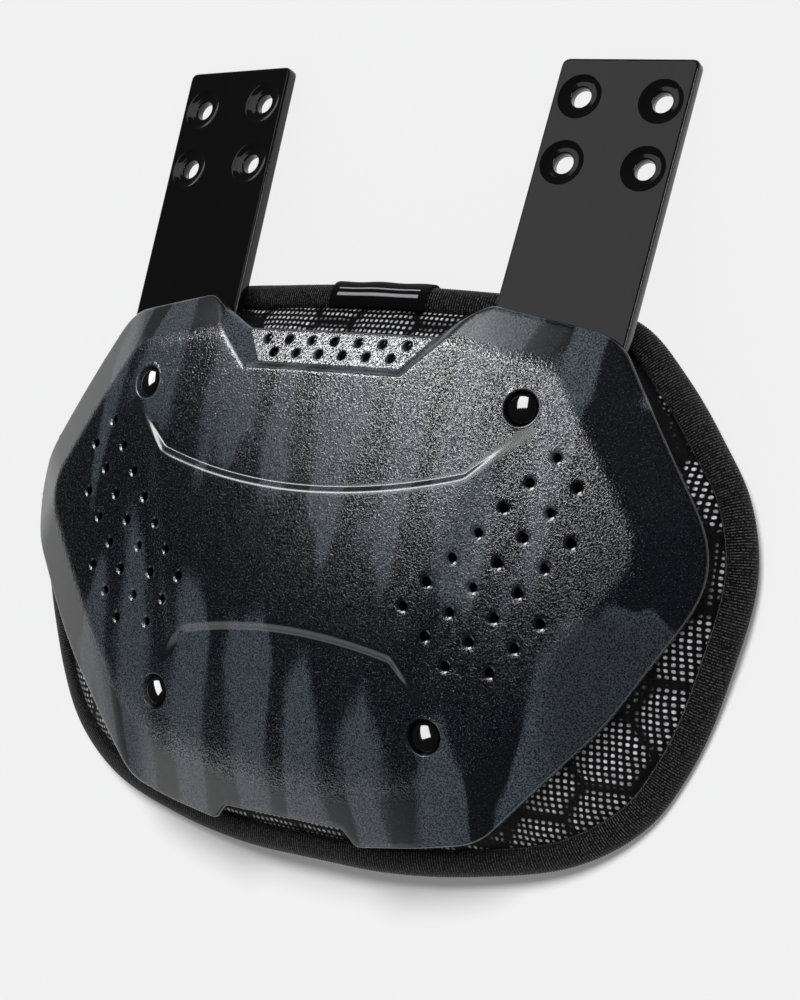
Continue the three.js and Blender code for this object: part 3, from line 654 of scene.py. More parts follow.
def make_shell(material):
    outline = shell_ring(SHELL_GRID["rim"])
    inward = ring_normals(outline)
    holes = [(hole, (x, y), chamfer_drop(hole, x, y)) for hole, x, y in hole_places()]
    rims = [circle(hole["radius"], hole["sides"]) + place for hole, place, _ in holes]
    carries = [carry for *_, carry in rivet_places()]
    seats = [carry(ring_at(SEAT["reach"], 0, SEAT["sides"]))[:, :2] for carry in carries]
    rings = [outline, *rims, *seats]

    # Rows of loose points along the rim, round the holes and across steps and creases, and their drops
    # below the face
    rows = [(outline + inward * at, edge_drop(at, RIM_ROUND)) for at in RIM_ROUND * np.array(RIM_SHARES)]
    for hole, place, drop in holes:
        for share in CHAMFER_SHARES:
            ring = circle(hole["radius"] + share * hole["edge"], hole["sides"]) + place
            rows.append((ring, (1 - share) * drop))
    for edge in (PANEL_TOP, PANEL_FOOT):
        line = step_line(edge, SHELL_GRID["step"])
        rows += [(line + line_normals(line) * share * edge["wall"], 0) for share in STEP_SHARES]
    within = outline + inward * CREASE["inset"]
    for line, out in crease_lines(SHELL_GRID["step"]):
        shifted = [line + out * shift for shift in CREASE_SHIFTS]
        rows += [(row[inside(row, within)], 0) for row in shifted]

    # Lattices between them
    for seed, part, span in ((1, "recess", RECESS_SPAN), (2, "front", SHELL_SPAN)):
        fixed = np.concatenate([*[row for row, _ in rows], *rings])
        rows.append((filling(outline, fixed, span, SHELL_GRID[part], SHELL_CLEAR[part], seed), 0))
    loose = np.concatenate([row for row, _ in rows])
    ring_drops = [RIM_ROUND, *[drop for *_, drop in holes], *[0] * len(seats)]
    drops = [*zip(rings, ring_drops), *rows]
    drop = np.concatenate([np.broadcast_to(drop, len(row)) for row, drop in drops])
    height, grained = shell_height(*np.concatenate([*rings, loose]).T)
    skin = Skin()
    front = skin.patch(rings, loose, height - drop)

    # Rear of the wall, coarser, with the bosses' rings in place of the seats'
    behind = outline + inward * REAR_ROUND
    bosses = [carry(ring_at(SEAT["boss"], -SHELL_WALL, SEAT["sides"]))[:, :2] for carry in carries]
    rear_rings = [behind, *rims, *bosses]
    fixed = np.concatenate(rear_rings)
    loose = filling(behind, fixed, SHELL_SPAN, SHELL_GRID["rear"], SHELL_CLEAR["rear"], 3)
    rear_height = shell_height(*np.concatenate([*rear_rings, loose]).T)[0] - SHELL_WALL
    rear = skin.patch(rear_rings, loose, rear_height)

    foot = skin.add(raised(outline, shell_height(*outline.T)[0] - SHELL_WALL + REAR_ROUND))
    skin.chain([front[0], foot, rear[0]])
    for k in range(1, 1 + len(rims)):
        skin.strip(front[k], rear[k])
    depth = -SEAT["boss_depth"]
    levels = [*SEAT_LIP, (SEAT["bore"], SEAT["floor"]), (SEAT["bore"], depth), (SEAT["boss"], depth)]
    for k, carry in enumerate(carries, 1 + len(rims)):
        rows = [skin.add(carry(ring_at(*level, SEAT["sides"]))) for level in levels]
        skin.chain([front[k], *rows, rear[k]])
    grain = np.zeros(skin.count)
    grain[: len(drop)] = np.where(drop > POLISHED_DROP, -1.0, grained)
    return skin.piece("shell_moulding", material, "shell", ["shell"], {"grain": grain})


# Straps

def strap_carry(side):
    normal = np.array(STRAP_NORMAL) * (side, 1, 1)
    along = np.array([side * STRAP_LEAN, 1.0, 0.0])
    return axes_frame(STRAP_PLACE * (side, 1, 1), normal, np.cross(along, normal))


def strap_plane(x, y, side):
    """Height of the plane of a strap's front face."""
    nx, ny, nz = STRAP_NORMAL
    return STRAP_PLACE[2] - (nx * (side * x - STRAP_PLACE[0]) + ny * (y - STRAP_PLACE[1])) / nz


def strap_ring(side, step):
    half = STRAP["width"] / 2
    skew = side * STRAP["skew"] * half
    foot = -STRAP["below"]
    top = STRAP["above"]
    corners = [(-half, foot), (half, foot), (half, top + skew), (-half, top - skew)]
    return eased_ring([{"x": x, "y": y, "round": STRAP["round"]} for x, y in corners], step)


def make_strap(side, word, material):
    carry = strap_carry(side)
    ring = strap_ring(side, STRAP_GRID["rim"])
    inward = ring_normals(ring)
    edge = ring + inward * STRAP_EDGE
    bolts = [(x * BOLT["across"], y * BOLT["along"]) for x in (-0.5, 0.5) for y in (-0.5, 0.5)]
    spokes = circle(1.0, BOLT["sides"])
    skin = Skin()
    faces = []
    for reach, level in ((BOLT["reach"], 0.0), (BOLT["bore"] + BOLT["rear"], -STRAP["thickness"])):
        holes = [reach * spokes + bolt for bolt in bolts]
        fixed = np.concatenate([edge, *holes])
        loose = filling(edge, fixed, STRAP_SPAN, STRAP_GRID["face"], STRAP_GRID["clear"], 4)
        margins = [edge + inward * STRAP_MARGIN, *[hole + STRAP_MARGIN * spokes for hole in holes]]
        faces.append(skin.patch([edge, *holes], np.concatenate([loose, *margins]), level))
    front, rear = faces
    turn = np.linspace(0, math.pi / 2, STRAP_GRID["edge"])[1:]
    sides = [(STRAP_EDGE * (1 - math.sin(t)), -STRAP_EDGE * (1 - math.cos(t))) for t in turn]
    sides += [(inset, -STRAP["thickness"] - level) for inset, level in reversed(sides)]
    rows = [skin.add(raised(ring + inward * inset, level)) for inset, level in sides]
    skin.chain([front[0], *rows, rear[0]])
    dish = [*BOLT_DISH, (BOLT["bore"], BOLT_DISH_FOOT), (BOLT["bore"], BOLT["rear"] - STRAP["thickness"])]
    for k, bolt in enumerate(bolts, 1):
        rows = [skin.add(ring_at(*level, BOLT["sides"]) + (*bolt, 0)) for level in dish]
        skin.chain([front[k], *rows, rear[k]])
    skin.points = [carry(block) for block in skin.points]
    return skin.piece(f"strap_plate_{word}", material, "strap", [f"strap_{word}"])


# Rivets

def strap_depth(side, carry):
    """Depth of a strap's front face below the shell, down a rivet's axis."""
    start, below = carry([[0, 0, 0], [0, 0, -1]])
    gap = start[2] - strap_plane(*start[:2], side)
    gap_below = below[2] - strap_plane(*below[:2], side)
    return gap / (gap - gap_below)


def make_rivet(rivet, word, side, carry, material):
    collar_top = -SEAT["boss_depth"] - TAIL["gap"]
    turn = np.linspace(0, math.pi / 2, HEAD["steps"])[1:-1]
    rise = HEAD["proud"] - HEAD["rim"]
    profile = [(HEAD["radius"] * math.sin(t), HEAD["rim"] + rise * math.cos(t)) for t in turn]
    profile += [(HEAD["radius"] + out, HEAD["rim"] + up) for out, up in HEAD_SKIRT]
    profile += [(HEAD["radius"], HEAD["seat"]), (TAIL["shank"], HEAD["seat"])]
    profile += [(TAIL["shank"], collar_top), (TAIL["collar"], collar_top)]
    if rivet["holds"] == "strap":
        depth = strap_depth(side, carry)
        before = TAIL["strap_gap"] - depth
        behind = -depth - STRAP["thickness"] - TAIL["strap_gap"]
        bottom = behind - TAIL["washer"]
        profile += [(TAIL["collar"], before), (TAIL["shank"], before)]
        profile += [(TAIL["shank"], behind), (TAIL["collar"], behind), (TAIL["collar"], bottom)]
    else:
        washer = collar_top - TAIL["washer"]
        bottom = washer - TAIL["stub"]
        profile += [(TAIL["collar"], washer), (TAIL["shank"], washer), (TAIL["shank"], bottom)]
    skin = Skin()
    rings = [skin.add(carry(ring_at(*level, HEAD["sides"]))) for level in profile]
    skin.fan(rings[0], carry([[0, 0, HEAD["proud"]]]))
    skin.chain(rings)
    skin.fan(rings[-1], carry([[0, 0, bottom]]))
    return skin.piece(f"{rivet['name']}_cap_{word}", material, "rivet", [f"{rivet['name']}_{word}"])


# Padded backing

def backing_height(x, y):
    bow = BACKING["across"] * x**2 + BACKING["along"] * (y - BACKING["middle"]) ** 2
    bend, tuck = (part["depth"] * smoothstep(*part["y"], y) for part in (BACKING_BEND, BACKING_TUCK))
    return -(BACKING["depth"] + bow + bend + tuck)


def between(a, b, start, end, at):
    return (a * (end - at) + b * (at - start)) / (end - start)


def closed_curve(points, steps):
    """A smooth closed curve through points, its bends shared out by the gaps between them."""
    line = []
    for k in range(len(points)):
        near = [points[(k + j) % len(points)] for j in (-1, 0, 1, 2)]
        gaps = [np.linalg.norm(b - a) ** 0.5 for a, b in zip(near, near[1:])]
        knots = [0, *np.cumsum(gaps)]
        for t in np.linspace(knots[1], knots[2], steps, endpoint=False):
            pairs = [between(near[j], near[j + 1], knots[j], knots[j + 1], t) for j in range(3)]
            bends = [between(pairs[j], pairs[j + 1], knots[j], knots[j + 2], t) for j in range(2)]
            line.append(between(*bends, knots[1], knots[2], t))
    return np.array(line)


def rim_line():
    """The tape's outside line, running counter-clockwise."""
    whole = [*BACKING_OUTLINE, *mirrored(BACKING_OUTLINE[1:-1])]
    curve = closed_curve([np.array([p["x"], p["y"]], float) for p in whole], CURVE_STEPS["rim"])
    return curve[::-1]


def rim_ring(count, inset=0.0):
    """Evenly spaced points of the pad's own edge and their inward directions."""
    line = rim_line()
    ring = even_points(line, closed_length(line) / count, closed=True)
    inward = ring_normals(ring)
    return ring + inward * (PAD["inset"] + inset), inward


def quilt(x, y):
    """Distance from the nearest seam of the hexagon quilting, whose cells have level tops."""
    cell = QUILT["cell"]
    u = (x - QUILT["x"]) / cell
    v = (y - QUILT["y"]) / cell
    wide = math.sqrt(3)
    best = np.full(np.shape(x), np.inf)
    for shift in (0.0, 0.5):
        a = np.abs((u - shift * wide + wide / 2) % wide - wide / 2)
        b = np.abs((v - shift + 0.5) % 1 - 0.5)
        reach = np.maximum(b, a * math.cos(math.pi / 6) + b * 0.5)
        best = np.minimum(best, reach)
    return (0.5 - best) * cell


def pad_surfaces(x, y, inset):
    """Heights of the pad's front and rear faces, and how far its cover lies from a seam."""
    edge, _ = rim_ring(PAD_GRID["crown_stations"], PAD["crown_inset"])
    angles = np.arctan2(edge[:, 1], edge[:, 0])
    order = np.argsort(angles)
    reach = np.interp(np.arctan2(y, x), angles[order], np.hypot(*edge[order].T), period=2 * np.pi)
    scale = np.clip(np.hypot(x, y) / reach, 0, 1)
    half = np.interp(inset, *np.array(PAD_SECTION).T)
    middle = backing_height(x, y)
    seam = quilt(x, y)
    risen = 1 - np.exp(-((np.maximum(seam, 0) / QUILT["soft"]) ** 2))
    puffed = QUILT["puff"] * (risen - QUILT["sunk"]) * smoothstep(*QUILT["rim"], inset)
    front = middle + half + PAD["crown"] * (1 - scale**4) + puffed
    rear = middle - half - PAD["belly"] * (1 - scale**2) - puffed
    return front, rear, seam


def clear_front(x, y, height):
    """Keeps the pad's front behind the shell, the straps and the rivets' tails."""
    points = np.column_stack([x, y])
    covered = inside(points, shell_ring(PAD_ROOM["step"]))
    under = shell_height(x, y)[0] - SHELL_WALL - PAD["clear"]
    height = np.where(covered, np.minimum(height, under), height)
    for side in (-1, 1):
        ring = strap_carry(side)(raised(strap_ring(side, PAD_ROOM["step"]), 0))[:, :2]
        beside = np.where(inside(points, ring), 0, distance_to(points, ring, closed=True))
        beside = np.maximum(beside - PAD_ROOM["margin"], 0)
        room = strap_plane(x, y, side) - STRAP["thickness"] - PAD["clear"]
        height = np.minimum(height, room + PAD_ROOM["strap"] * beside)
    for rivet, _, _, carry in rivet_places():
        place = carry([[0, 0, -rivet["room"]]])[0]
        away = np.hypot(x - place[0], y - place[1])
        beside = np.maximum(away - TAIL["collar"] - PAD_ROOM["margin"], 0)
        height = np.minimum(height, place[2] + PAD_ROOM["rivet"] * beside)
    return height


def make_pad(material):
    ring, inward = rim_ring(PAD_GRID["stations"])
    rows = [ring + inward * inset for inset in PAD_RIM_ROWS]
    inner = ring + inward * (PAD_RIM_ROWS[-1] + PAD_GRID["margin"] * PAD_GRID["face"])
    fill = filling(inner, np.concatenate(rows), PAD_SPAN, PAD_GRID["face"], PAD_GRID["clear"], 5)
    loose = np.concatenate([*rows, fill])
    flat = np.concatenate([ring, loose])
    inset = distance_to(flat, ring, closed=True)
    front, rear, seam = pad_surfaces(*flat.T, inset)
    front = clear_front(*flat.T, front)
    skin = Skin()
    tops = skin.patch([ring], loose, front)
    bottoms = skin.patch([ring], loose, rear)
    middle = ring - inward * PAD["waist"]
    waist = skin.add(raised(middle, backing_height(*middle.T)))
    skin.chain([tops[0], waist, bottoms[0]])

    # The mesh's pale dots fade out towards the seams, and under the shell's edge they are darkened as
    # painted shade
    cover = shell_ring(PAD_GRID["cover"])
    covered = np.where(inside(flat, cover), distance_to(flat, cover, closed=True), 0)
    # Painted shade: the dots darken to nothing within a few millimetres under the shell's edge
    shown = seam * smoothstep(MESH_DOT["painted_shade_under_shell"], 0, covered)
    bare = np.zeros(len(waist))
    # The front's seam attribute carries the painted shade under the shell as well as the seams
    values = {"seam": np.concatenate([shown, seam, bare]), "inset": np.concatenate([inset, inset, bare])}
    pad = skin.piece("quilted_pad", material, "pad", ["pad"], values)
    return pad


# Tape, stitches and label round the rim

def section_rows(section):
    """A section over the rim, from its front inner edge round the outside to its rear inner edge."""
    front = np.array(section)
    rear = front[::-1] * (1, -1)
    return np.vstack([front, rear])


def rim_points(ring, inward, inset, lift):
    """Points of the rim's surroundings, an inset in from the pad's edge and a height above its middle."""
    flat = ring + inward * np.asarray(inset)[..., None]
    return raised(flat, backing_height(*flat.T) + lift)


def section_ways(rows):
    """Unit directions out of a section's surface, away from the rim's middle."""
    out = line_normals(rows)
    return out * np.sign((out * rows).sum(1))[:, None]


def make_binding(material):
    length = closed_length(rim_line())
    count = round(length / BINDING["rib_pitch"]) * BINDING["steps_per_rib"]
    ring, inward = rim_ring(count)
    outer = even_points(section_rows(BINDING_SECTION), BINDING["row"])
    out = section_ways(outer)
    inner = outer - out * BINDING["thickness"]
    wave = np.cos(np.arange(count) * 2 * math.pi / BINDING["steps_per_rib"]) * BINDING["rib"] / 2
    skin = Skin()
    rows = []
    for (inset, lift), way in zip(outer, out):
        rows.append(skin.add(rim_points(ring, inward, inset + way[0] * wave, lift + way[1] * wave)))
    for inset, lift in inner[::-1]:
        rows.append(skin.add(rim_points(ring, inward, np.full(count, inset), lift)))
    skin.chain([*rows, rows[0]])
    # The rib attribute marks the ribs' crests, where the tape's material paints a highlight
    rib = np.concatenate([np.tile(wave / BINDING["rib"] + 0.5, len(outer)), np.zeros(count * len(inner))])
    binding = skin.piece("binding_tape", material, "binding", ["binding"], {"rib": rib})
    return binding


def make_stitches(material):
    """A running stitch along the tape's inner edge, front and rear."""
    ring, inward = rim_ring(round(closed_length(rim_line()) / STITCH["pitch"]))
    along = np.stack([inward[:, 1], -inward[:, 0]], 1)
    skin = Skin()
    for way in (1, -1):
        for place, inner, tangent in zip(ring, inward, along):
            rings = []
            for share, fat in STITCH_SHAPE:
                flat = place + inner * STITCH["inset"] + tangent * share * STITCH["length"]
                lift = STITCH["lift"] - STITCH["dip"] * (1 - fat)
                middle = np.array([*flat, backing_height(*flat) + way * lift])
                side, up = circle(STITCH["radius"] * fat, STITCH["sides"]).T[..., None]
                rings.append(skin.add(middle + side * np.array([*inner, 0]) + up * np.array([0, 0, 1.0])))
            skin.chain(rings)
            skin.faces += [rings[0].tolist(), rings[-1].tolist()]
    return skin.piece("binding_stitches", material, "binding")


def make_label(material):
    """A short band of woven tape folded over the middle of the top rim."""
    ring, inward = rim_ring(LABEL["stations"])
    top = np.argsort(ring[:, 0])
    top = top[ring[top, 1] > 0]
    x = np.linspace(-LABEL["half_width"], LABEL["half_width"], LABEL["steps"] + 1)
    place = np.column_stack([x, np.interp(x, ring[top, 0], ring[top, 1])])
    inner_way = np.column_stack([np.interp(x, ring[top, 0], inward[top, k]) for k in (0, 1)])
    rows = even_points(section_rows(LABEL_SECTION), LABEL["row"])
    out = section_ways(rows)
    rows = rows + out * LABEL["gap"]
    across = lengths_along(rows)
    turn = x / LABEL["half_width"] * 2 * math.pi * LABEL_WAVE["turns"]
    skin = Skin()
    faces = []
    for level in (LABEL["thickness"] / 2, -LABEL["thickness"] / 2):
        face = []
        for k, (inset, lift) in enumerate(rows + out * level):
            wave = LABEL_WAVE["height"] * np.cos(turn + k * LABEL_WAVE["skew"])
            shift = out[k, :, None] * wave
            face.append(skin.add(rim_points(place, inner_way, inset + shift[0], lift + shift[1])))
        faces.append(face)
    front, rear = faces
    for face in faces:
        skin.chain(face, closed=False)
    for end in (0, -1):
        skin.strip(front[end], rear[end], closed=False)
        skin.strip([row[end] for row in front], [row[end] for row in rear], closed=False)
    band = np.repeat(across / across[-1], len(x))
    values = {"band": np.tile(band, 2), "span": np.tile(x, 2 * len(rows))}
    label = skin.piece("label_tab", material, "label", ["label"], values)
    return label


# Materials

class Nodes:
    """A material's node tree, built node by node."""

    def __init__(self, name, **sockets):
        self.material = bpy.data.materials.new(name)
        self.material.use_nodes = True
        self.tree = self.material.node_tree
        self.place = self.add("ShaderNodeTexCoord").outputs["Object"]
        self.finish(**sockets)

    def add(self, kind, inputs=None, **settings):
        node = self.tree.nodes.new(kind)
        for key, value in settings.items():
            setattr(node, key, value)
        for key, value in (inputs or {}).items():
            self.feed(node.inputs[key], value)
        return node

    def feed(self, socket, value):
        if isinstance(value, bpy.types.NodeSocket):
            self.tree.links.new(value, socket)
        else:
            socket.default_value = value

    def math(self, operation, *values):
        return self.add("ShaderNodeMath", dict(enumerate(values)), operation=operation).outputs[0]

    def plus(self, a, b):
        return self.math("ADD", a, b)

    def minus(self, a, b):
        return self.math("SUBTRACT", a, b)

    def times(self, first, *others):
        for value in others:
            first = self.math("MULTIPLY", first, value)
        return first

    def ramp(self, value, low, high, start=0.0, end=1.0):
        inputs = {"Value": value, "From Min": low, "From Max": high, "To Min": start, "To Max": end}
        return self.add("ShaderNodeMapRange", inputs, interpolation_type="SMOOTHSTEP").outputs["Result"]

    def scaled(self, size, turn=0.0):
        """Object coordinates counted in a size, or in one size for each axis, given in millimetres."""
        counts = (1 / (np.broadcast_to(size, 3) * MM)).tolist()
        inputs = {"Vector": self.place, "Scale": counts, "Rotation": (0, 0, turn)}
        return self.add("ShaderNodeMapping", inputs, vector_type="POINT").outputs["Vector"]

    def counted(self, size):
        return self.add("ShaderNodeSeparateXYZ", {"Vector": self.scaled(size)}).outputs

    def noise(self, size, detail=1.0, roughness=0.5, turn=0.0):
        inputs = {"Vector": self.scaled(size, turn), "Scale": 1.0, "Detail": detail, "Roughness": roughness}
        return self.add("ShaderNodeTexNoise", inputs).outputs["Fac"]

    def centred(self, size, amount, roughness=0.5):
        """Noise about zero, as strong as an amount."""
        return self.times(self.minus(self.noise(size, 1.0, roughness), 0.5), amount)

    def cells(self, size):
        inputs = {"Vector": self.scaled(size), "Scale": 1.0}
        return self.add("ShaderNodeTexVoronoi", inputs, feature="SMOOTH_F1").outputs["Distance"]

    def mix(self, share, low, high):
        return self.add("ShaderNodeMix", {0: share, 6: low, 7: high}, data_type="RGBA").outputs[2]

    def attribute(self, name):
        return self.add("ShaderNodeAttribute", attribute_name=name).outputs["Fac"]

    def bump(self, height, strength, distance):
        inputs = {"Height": height, "Strength": strength, "Distance": distance * MM}
        return self.add("ShaderNodeBump", inputs).outputs["Normal"]

    def finish(self, **sockets):
        for socket, value in sockets.items():
            self.feed(self.tree.nodes["Principled BSDF"].inputs[socket.replace("_", " ")], value)
        return self.material


def shell_print(n, grain):
    """How strongly the slate print shows, in speckled upright bars with ragged ends."""
    bar = PRINT["bar"]
    count = n.counted(bar)
    across = n.times(count[0], bar)
    out = n.math("ABSOLUTE", across)
    level = n.minus(n.times(count[1], bar), PRINT["middle"] + PLATE_ORIGIN[1])

    def level_ramp(ends):
        return n.ramp(level, *(y - PRINT["middle"] for y in ends))

    sway = n.times(n.noise((34, 90, 90), 1.0, 0.4), PRINT["sway"])
    wave = n.math("SINE", n.times(n.plus(count[0], sway), 2 * math.pi))
    uneven = n.centred((9, 60, 60), PRINT_WEIGHT["uneven"], 0.4)
    bars = n.plus(n.times(wave, PRINT_WEIGHT["bars"]), uneven)
    lean = n.times(count[0], n.ramp(out, *PRINT_LEAN), bar * PRINT["tilt"])
    ragged = n.plus(n.plus(level, lean), n.centred((18, 90, 90), PRINT["ragged"]))
    away = n.ramp(n.math("ABSOLUTE", ragged), PRINT["dark"], PRINT["full"])
    corner = n.times(n.ramp(across, *PRINT_CORNER["x"]), level_ramp(PRINT_CORNER["y"]))
    beside = n.times(level_ramp(PRINT_SIDE["y"]), level_ramp(PRINT_SIDE["tower_y"]))
    bare = n.times(n.ramp(out, *PRINT_SIDE["x"]), beside, n.minus(1.0, corner))
    away = n.plus(n.minus(away, bare), n.times(corner, PRINT_WEIGHT["corner"]))
    speck = n.centred(0.36, n.ramp(grain, 0, 1, *PRINT_WEIGHT["speck"]), 0.6)
    shown = n.plus(bars, n.plus(speck, n.times(away, PRINT_WEIGHT["away"])))
    return n.times(n.ramp(shown, *PRINT_EDGE), n.ramp(corner, 0, 1, 1.0, PRINT_CORNER["dim"]))


def shell_material():
    """Grained plastic, near black, printed in slate grey and flecked where it is grained."""
    n = Nodes("shell_plastic", IOR=1.5)
    surface = n.attribute("grain")
    grain = n.math("MAXIMUM", surface, 0.0)
    mottle = n.ramp(n.noise(0.55), 0.36, 0.64)
    color = n.mix(shell_print(n, grain), n.mix(mottle, *NAVY), n.mix(mottle, *SLATE))
    fleck = n.times(n.ramp(n.noise(0.45), 0.61, 0.73, 0.0, 0.7), n.ramp(grain, 0, 1, 0.35, 1.0))
    color = n.mix(fleck, color, FLECK_GREY)
    pebble = n.plus(n.noise(GRAIN["pebble"]), n.times(n.cells(GRAIN["cell"]), 0.5))
    normal = n.bump(pebble, n.ramp(grain, 0, 1, *GRAIN_BUMP), GRAIN["depth"])
    rough = n.plus(n.ramp(grain, 0, 1, *GRAIN_ROUGH), n.times(n.noise(5, 2.0), 0.04))
    rough = n.minus(rough, n.ramp(surface, 0, -1, 0.0, GRAIN["polish"]))
    change = n.ramp(pebble, *GRAIN_GLOSS["pebble"], *GRAIN_GLOSS["change"])
    gloss = n.math("MULTIPLY_ADD", grain, change, 0.5)
    return n.finish(Base_Color=color, Roughness=rough, Normal=normal, Specular_IOR_Level=gloss)


def strap_material():
    n = Nodes("strap_plastic", IOR=1.5)
    color = n.mix(n.noise((40, 120, 60), 2.0), *STRAP_BLACK)
    rough = n.ramp(n.noise((0.6, 40, 10), 2.0, 0.6, 0.2), 0.35, 0.8, 0.08, 0.12)
    return n.finish(Base_Color=color, Roughness=rough, Normal=n.bump(n.noise((14, 18, 14)), 0.05, 0.12))


def rivet_material():
    n = Nodes("rivet_plastic", IOR=1.5)
    cloud = n.noise(3, 2.0)
    return n.finish(Base_Color=n.mix(cloud, *RIVET_BLACK), Roughness=n.ramp(cloud, 0.3, 0.8, 0.05, 0.1))


def pad_material():
    """Black mesh with pale dots showing through it in rows, sunk along the seams of the quilting, and
    darkened as painted shade under the shell's edge.
    """
    n = Nodes("pad_mesh", Roughness=0.85, IOR=1.4)
    wobble = n.centred(9, 0.5)
    count = n.counted(MESH_DOT["pitch"])
    powers = []
    for axis in (0, 1):
        off = n.minus(n.math("FRACT", n.plus(count[axis], wobble)), 0.5)
        powers.append(n.math("POWER", n.math("ABSOLUTE", off), MESH_DOT["square"]))
    reach = n.math("POWER", n.plus(*powers), 1 / MESH_DOT["square"])
    radius = MESH_DOT["radius"] / MESH_DOT["pitch"]
    dot = n.ramp(reach, radius * 1.25, radius * 0.75)
    shade = n.ramp(n.noise(1.7), 0.3, 0.7, 0.35, 1.0)
    # The seam attribute also holds the painted shade under the shell's edge
    open_mesh = n.times(*(n.ramp(n.attribute(name), *ends) for name, ends in MESH_OPEN.items()))
    thread = n.noise(0.35, 2.0, 0.6)
    color = n.mix(n.times(dot, shade, open_mesh), n.mix(thread, *MESH_BLACK), DOT_WHITE)
    normal = n.bump(n.minus(n.times(thread, 0.25), dot), 0.6, 0.4)
    return n.finish(Base_Color=color, Normal=normal)


def binding_material():
    """Ribbed knit: dull black yarn, with a painted highlight along the ribs' crests, broken into loops."""
    n = Nodes("binding_knit", Roughness=0.8, IOR=1.4, Sheen_Weight=0.15, Sheen_Roughness=0.4)
    yarn = n.noise(0.55, 2.0, 0.6)
    # Painted highlight: the ribs' crests are paler, broken into loops by the yarn
    crest_highlight = n.times(n.ramp(n.attribute("rib"), 0.35, 1.0), n.ramp(yarn, 0.4, 0.65))
    color = n.mix(crest_highlight, n.mix(n.noise(25, 2.0), *KNIT_BLACK), CREST_HIGHLIGHT_GREY)
    return n.finish(Base_Color=color, Normal=n.bump(yarn, 0.6, 0.3))


def stitch_material():
    n = Nodes("stitch_thread", Roughness=0.7, IOR=1.4)
    twist = n.noise(0.3)
    return n.finish(Base_Color=n.mix(twist, *THREAD_BLACK), Normal=n.bump(twist, 0.5, 0.2))


def label_material():
    """Smooth black woven tape with two plain pale lines along it."""
    n = Nodes("label_weave", Roughness=0.7, IOR=1.3)
    x, y, z = n.counted(0.5)
    weave = n.times(*(n.math("SINE", n.times(way, 2 * math.pi)) for way in (x, n.plus(y, z))))
    band = n.attribute("band")
    lines = 0.0
    for row in LABEL_LINES:
        off = n.math("ABSOLUTE", n.minus(band, row["at"]))
        lines = n.math("MAXIMUM", lines, n.ramp(off, row["half"] * 1.3, row["half"] * 0.7))
    ends = n.ramp(n.math("ABSOLUTE", n.attribute("span")), *LABEL_LINE_END)
    color = n.mix(n.times(lines, ends), n.mix(n.noise(2, 2.0), *LABEL_BLACK), LINE_GREY)
    return n.finish(Base_Color=color, Normal=n.bump(weave, 0.35, 0.12))


def floor_material():
    """Pale paint that glows a little, so that shadows on it stay light."""
    n = Nodes("floor_paint", Roughness=0.9, Specular_IOR_Level=0.2)
    color = n.mix(n.noise(400), *FLOOR_WHITE)
    return n.finish(Base_Color=color, Emission_Color=color, Emission_Strength=FLOOR_GLOW)


# Stage, light and camera

def make_floor():
    mesh = bpy.data.meshes.new("floor")
    corners = [(x * FLOOR_HALF, y * FLOOR_HALF, 0) for x, y in ((-1, -1), (1, -1), (1, 1), (-1, 1))]
    mesh.from_pydata(corners, [], [(0, 1, 2, 3)])
    mesh.materials.append(floor_material())
    floor = bpy.data.objects.new("floor", mesh)
    bpy.context.scene.collection.objects.link(floor)
    return floor


def stand(name, data, place, x, y, z):
    """A light or camera at a place in the plate's axes, with its own axes turned to three directions."""
    thing = bpy.data.objects.new(name, data)
    turned = Matrix((x, y, z)).transposed().to_4x4()
    thing.matrix_world = Matrix.Translation(Vector(to_frame(place))) @ turned
    bpy.context.scene.collection.objects.link(thing)
    return thing


def gathered(name, pieces):
    group = bpy.data.collections.new(name)
    for piece in pieces:
        group.objects.link(piece)
    return group


def light_object(name, data, place, target, long_way, pieces, blockers=None):
    """A light turned to a target, that lights the given pieces only, and casts the shadows of all pieces
    or of the given blockers."""
    back = Vector(np.array(place, float) - np.array(target, float)).normalized()
    along = Vector(long_way)
    x = (along - along.dot(back) * back).normalized()
    light = stand(name, data, place, x, back.cross(x), back)
    light.light_linking.receiver_collection = gathered(name + "_lights", pieces)
    if blockers:
        light.light_linking.blocker_collection = gathered(name + "_shadows", blockers)
    return light


def soft_light(name, place, size, glow, pieces, target=SHELL_TARGET, long_way=(1, 0, 0)):
    """A soft rectangular light of a given brightness, seen in gloss only."""
    data = bpy.data.lights.new(name, "AREA")
    data.shape = "RECTANGLE"
    data.size, data.size_y = (s * MM for s in size)
    data.energy = glow * math.pi * data.size * data.size_y
    light = light_object(name, data, place, target, long_way, pieces)
    light.visible_diffuse = False


def far_light(row, pieces, blockers):
    """A wide, distant light for matt colour and shadows, not seen in gloss."""
    data = bpy.data.lights.new(row["name"], "SUN")
    data.energy = row["strength"]
    data.angle = math.radians(row["width"])
    place = np.array(row["from"]) * FAR_DISTANCE
    light = light_object(row["name"], data, place, (0, 0, 0), (1, 0, 0), pieces, blockers)
    light.visible_glossy = False


def mirrored_place(carry, slope):
    """Where a light stands to be seen in a rivet's head, at the point where the head has this slope."""
    middle, tip = carry([[0, 0, 0], [*slope, 1]])
    normal = unit(tip - middle)
    view = unit(CAMERA_PLACE - middle)
    return middle + SPARK["distance"] * (2 * (normal @ view) * normal - view)


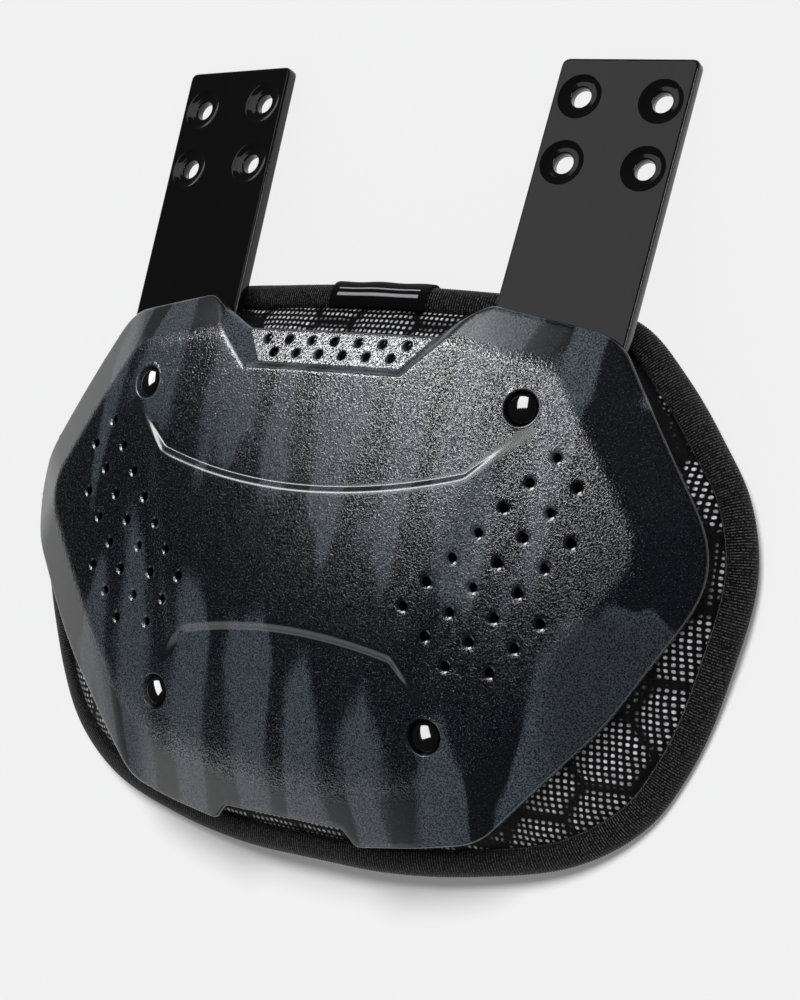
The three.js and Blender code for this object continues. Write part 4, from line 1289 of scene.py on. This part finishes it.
def make_lights(floor, straps, rivets, shell, cloth):
    front = [shell, *cloth]
    lit = {"floor": [floor], "shell": [shell], "front": front, "straps": straps}
    lit["plate"] = [*straps, *rivets, *front]
    for row in FAR_LIGHTS:
        far_light(row, lit[row["on"]], front if row["on"] == "floor" else None)
    for row in SOFTBOXES:
        target = STRAP_TARGET if row["on"] == "straps" else SHELL_TARGET
        soft_light(row["name"], row["place"], row["size"], row["glow"], lit[row["on"]], target)
    for row in SHEEN_STRIPS:
        place = (row["x"], (row["low"] + row["high"]) / 2, SHEEN["z"])
        size = (SHEEN["width"], row["high"] - row["low"])
        soft_light(f"sheen_strip_{row['x']}", place, size, SHEEN["glow"], [shell])
    for rivet, (_, word, _, carry) in zip(rivets, rivet_places()):
        place = mirrored_place(carry, RIVET_SPARK[word])
        size, glow = SPARK["size"], SPARK["glow"]
        soft_light(rivet.name + "_softbox", place, size, glow, [rivet], long_way=SPARK["long_way"])
    world = bpy.data.worlds.new("studio")
    world.use_nodes = True
    background = world.node_tree.nodes["Background"].inputs
    background["Color"].default_value = (1, 1, 1, 1)
    background["Strength"].default_value = WORLD_LIGHT
    bpy.context.scene.world = world
    bpy.context.scene.view_settings.view_transform = "Standard"


def make_camera():
    turn, roll = (math.radians(CAMERA[k]) for k in ("turn", "roll"))
    back = Vector(CAMERA_BACK)
    right = Vector((math.cos(turn), 0, -math.sin(turn)))
    up = back.cross(right)
    right, up = right * math.cos(roll) + up * math.sin(roll), up * math.cos(roll) - right * math.sin(roll)
    data = bpy.data.cameras.new("camera")
    data.sensor_width = SENSOR
    data.lens = CAMERA["focal_px"] / IMAGE_LONG_SIDE * SENSOR
    bpy.context.scene.camera = stand("camera", data, CAMERA_PLACE, right, up, back)


make_camera()
gloss = strap_material()
straps = [make_strap(side, word, gloss) for word, side in (("left", -1), ("right", 1))]
polish = rivet_material()
rivets = [make_rivet(*place, polish) for place in rivet_places()]
shell = make_shell(shell_material())
cloth = [
    make_pad(pad_material()),
    make_binding(binding_material()),
    make_stitches(stitch_material()),
    make_label(label_material()),
]
make_lights(make_floor(), straps, rivets, shell, cloth)
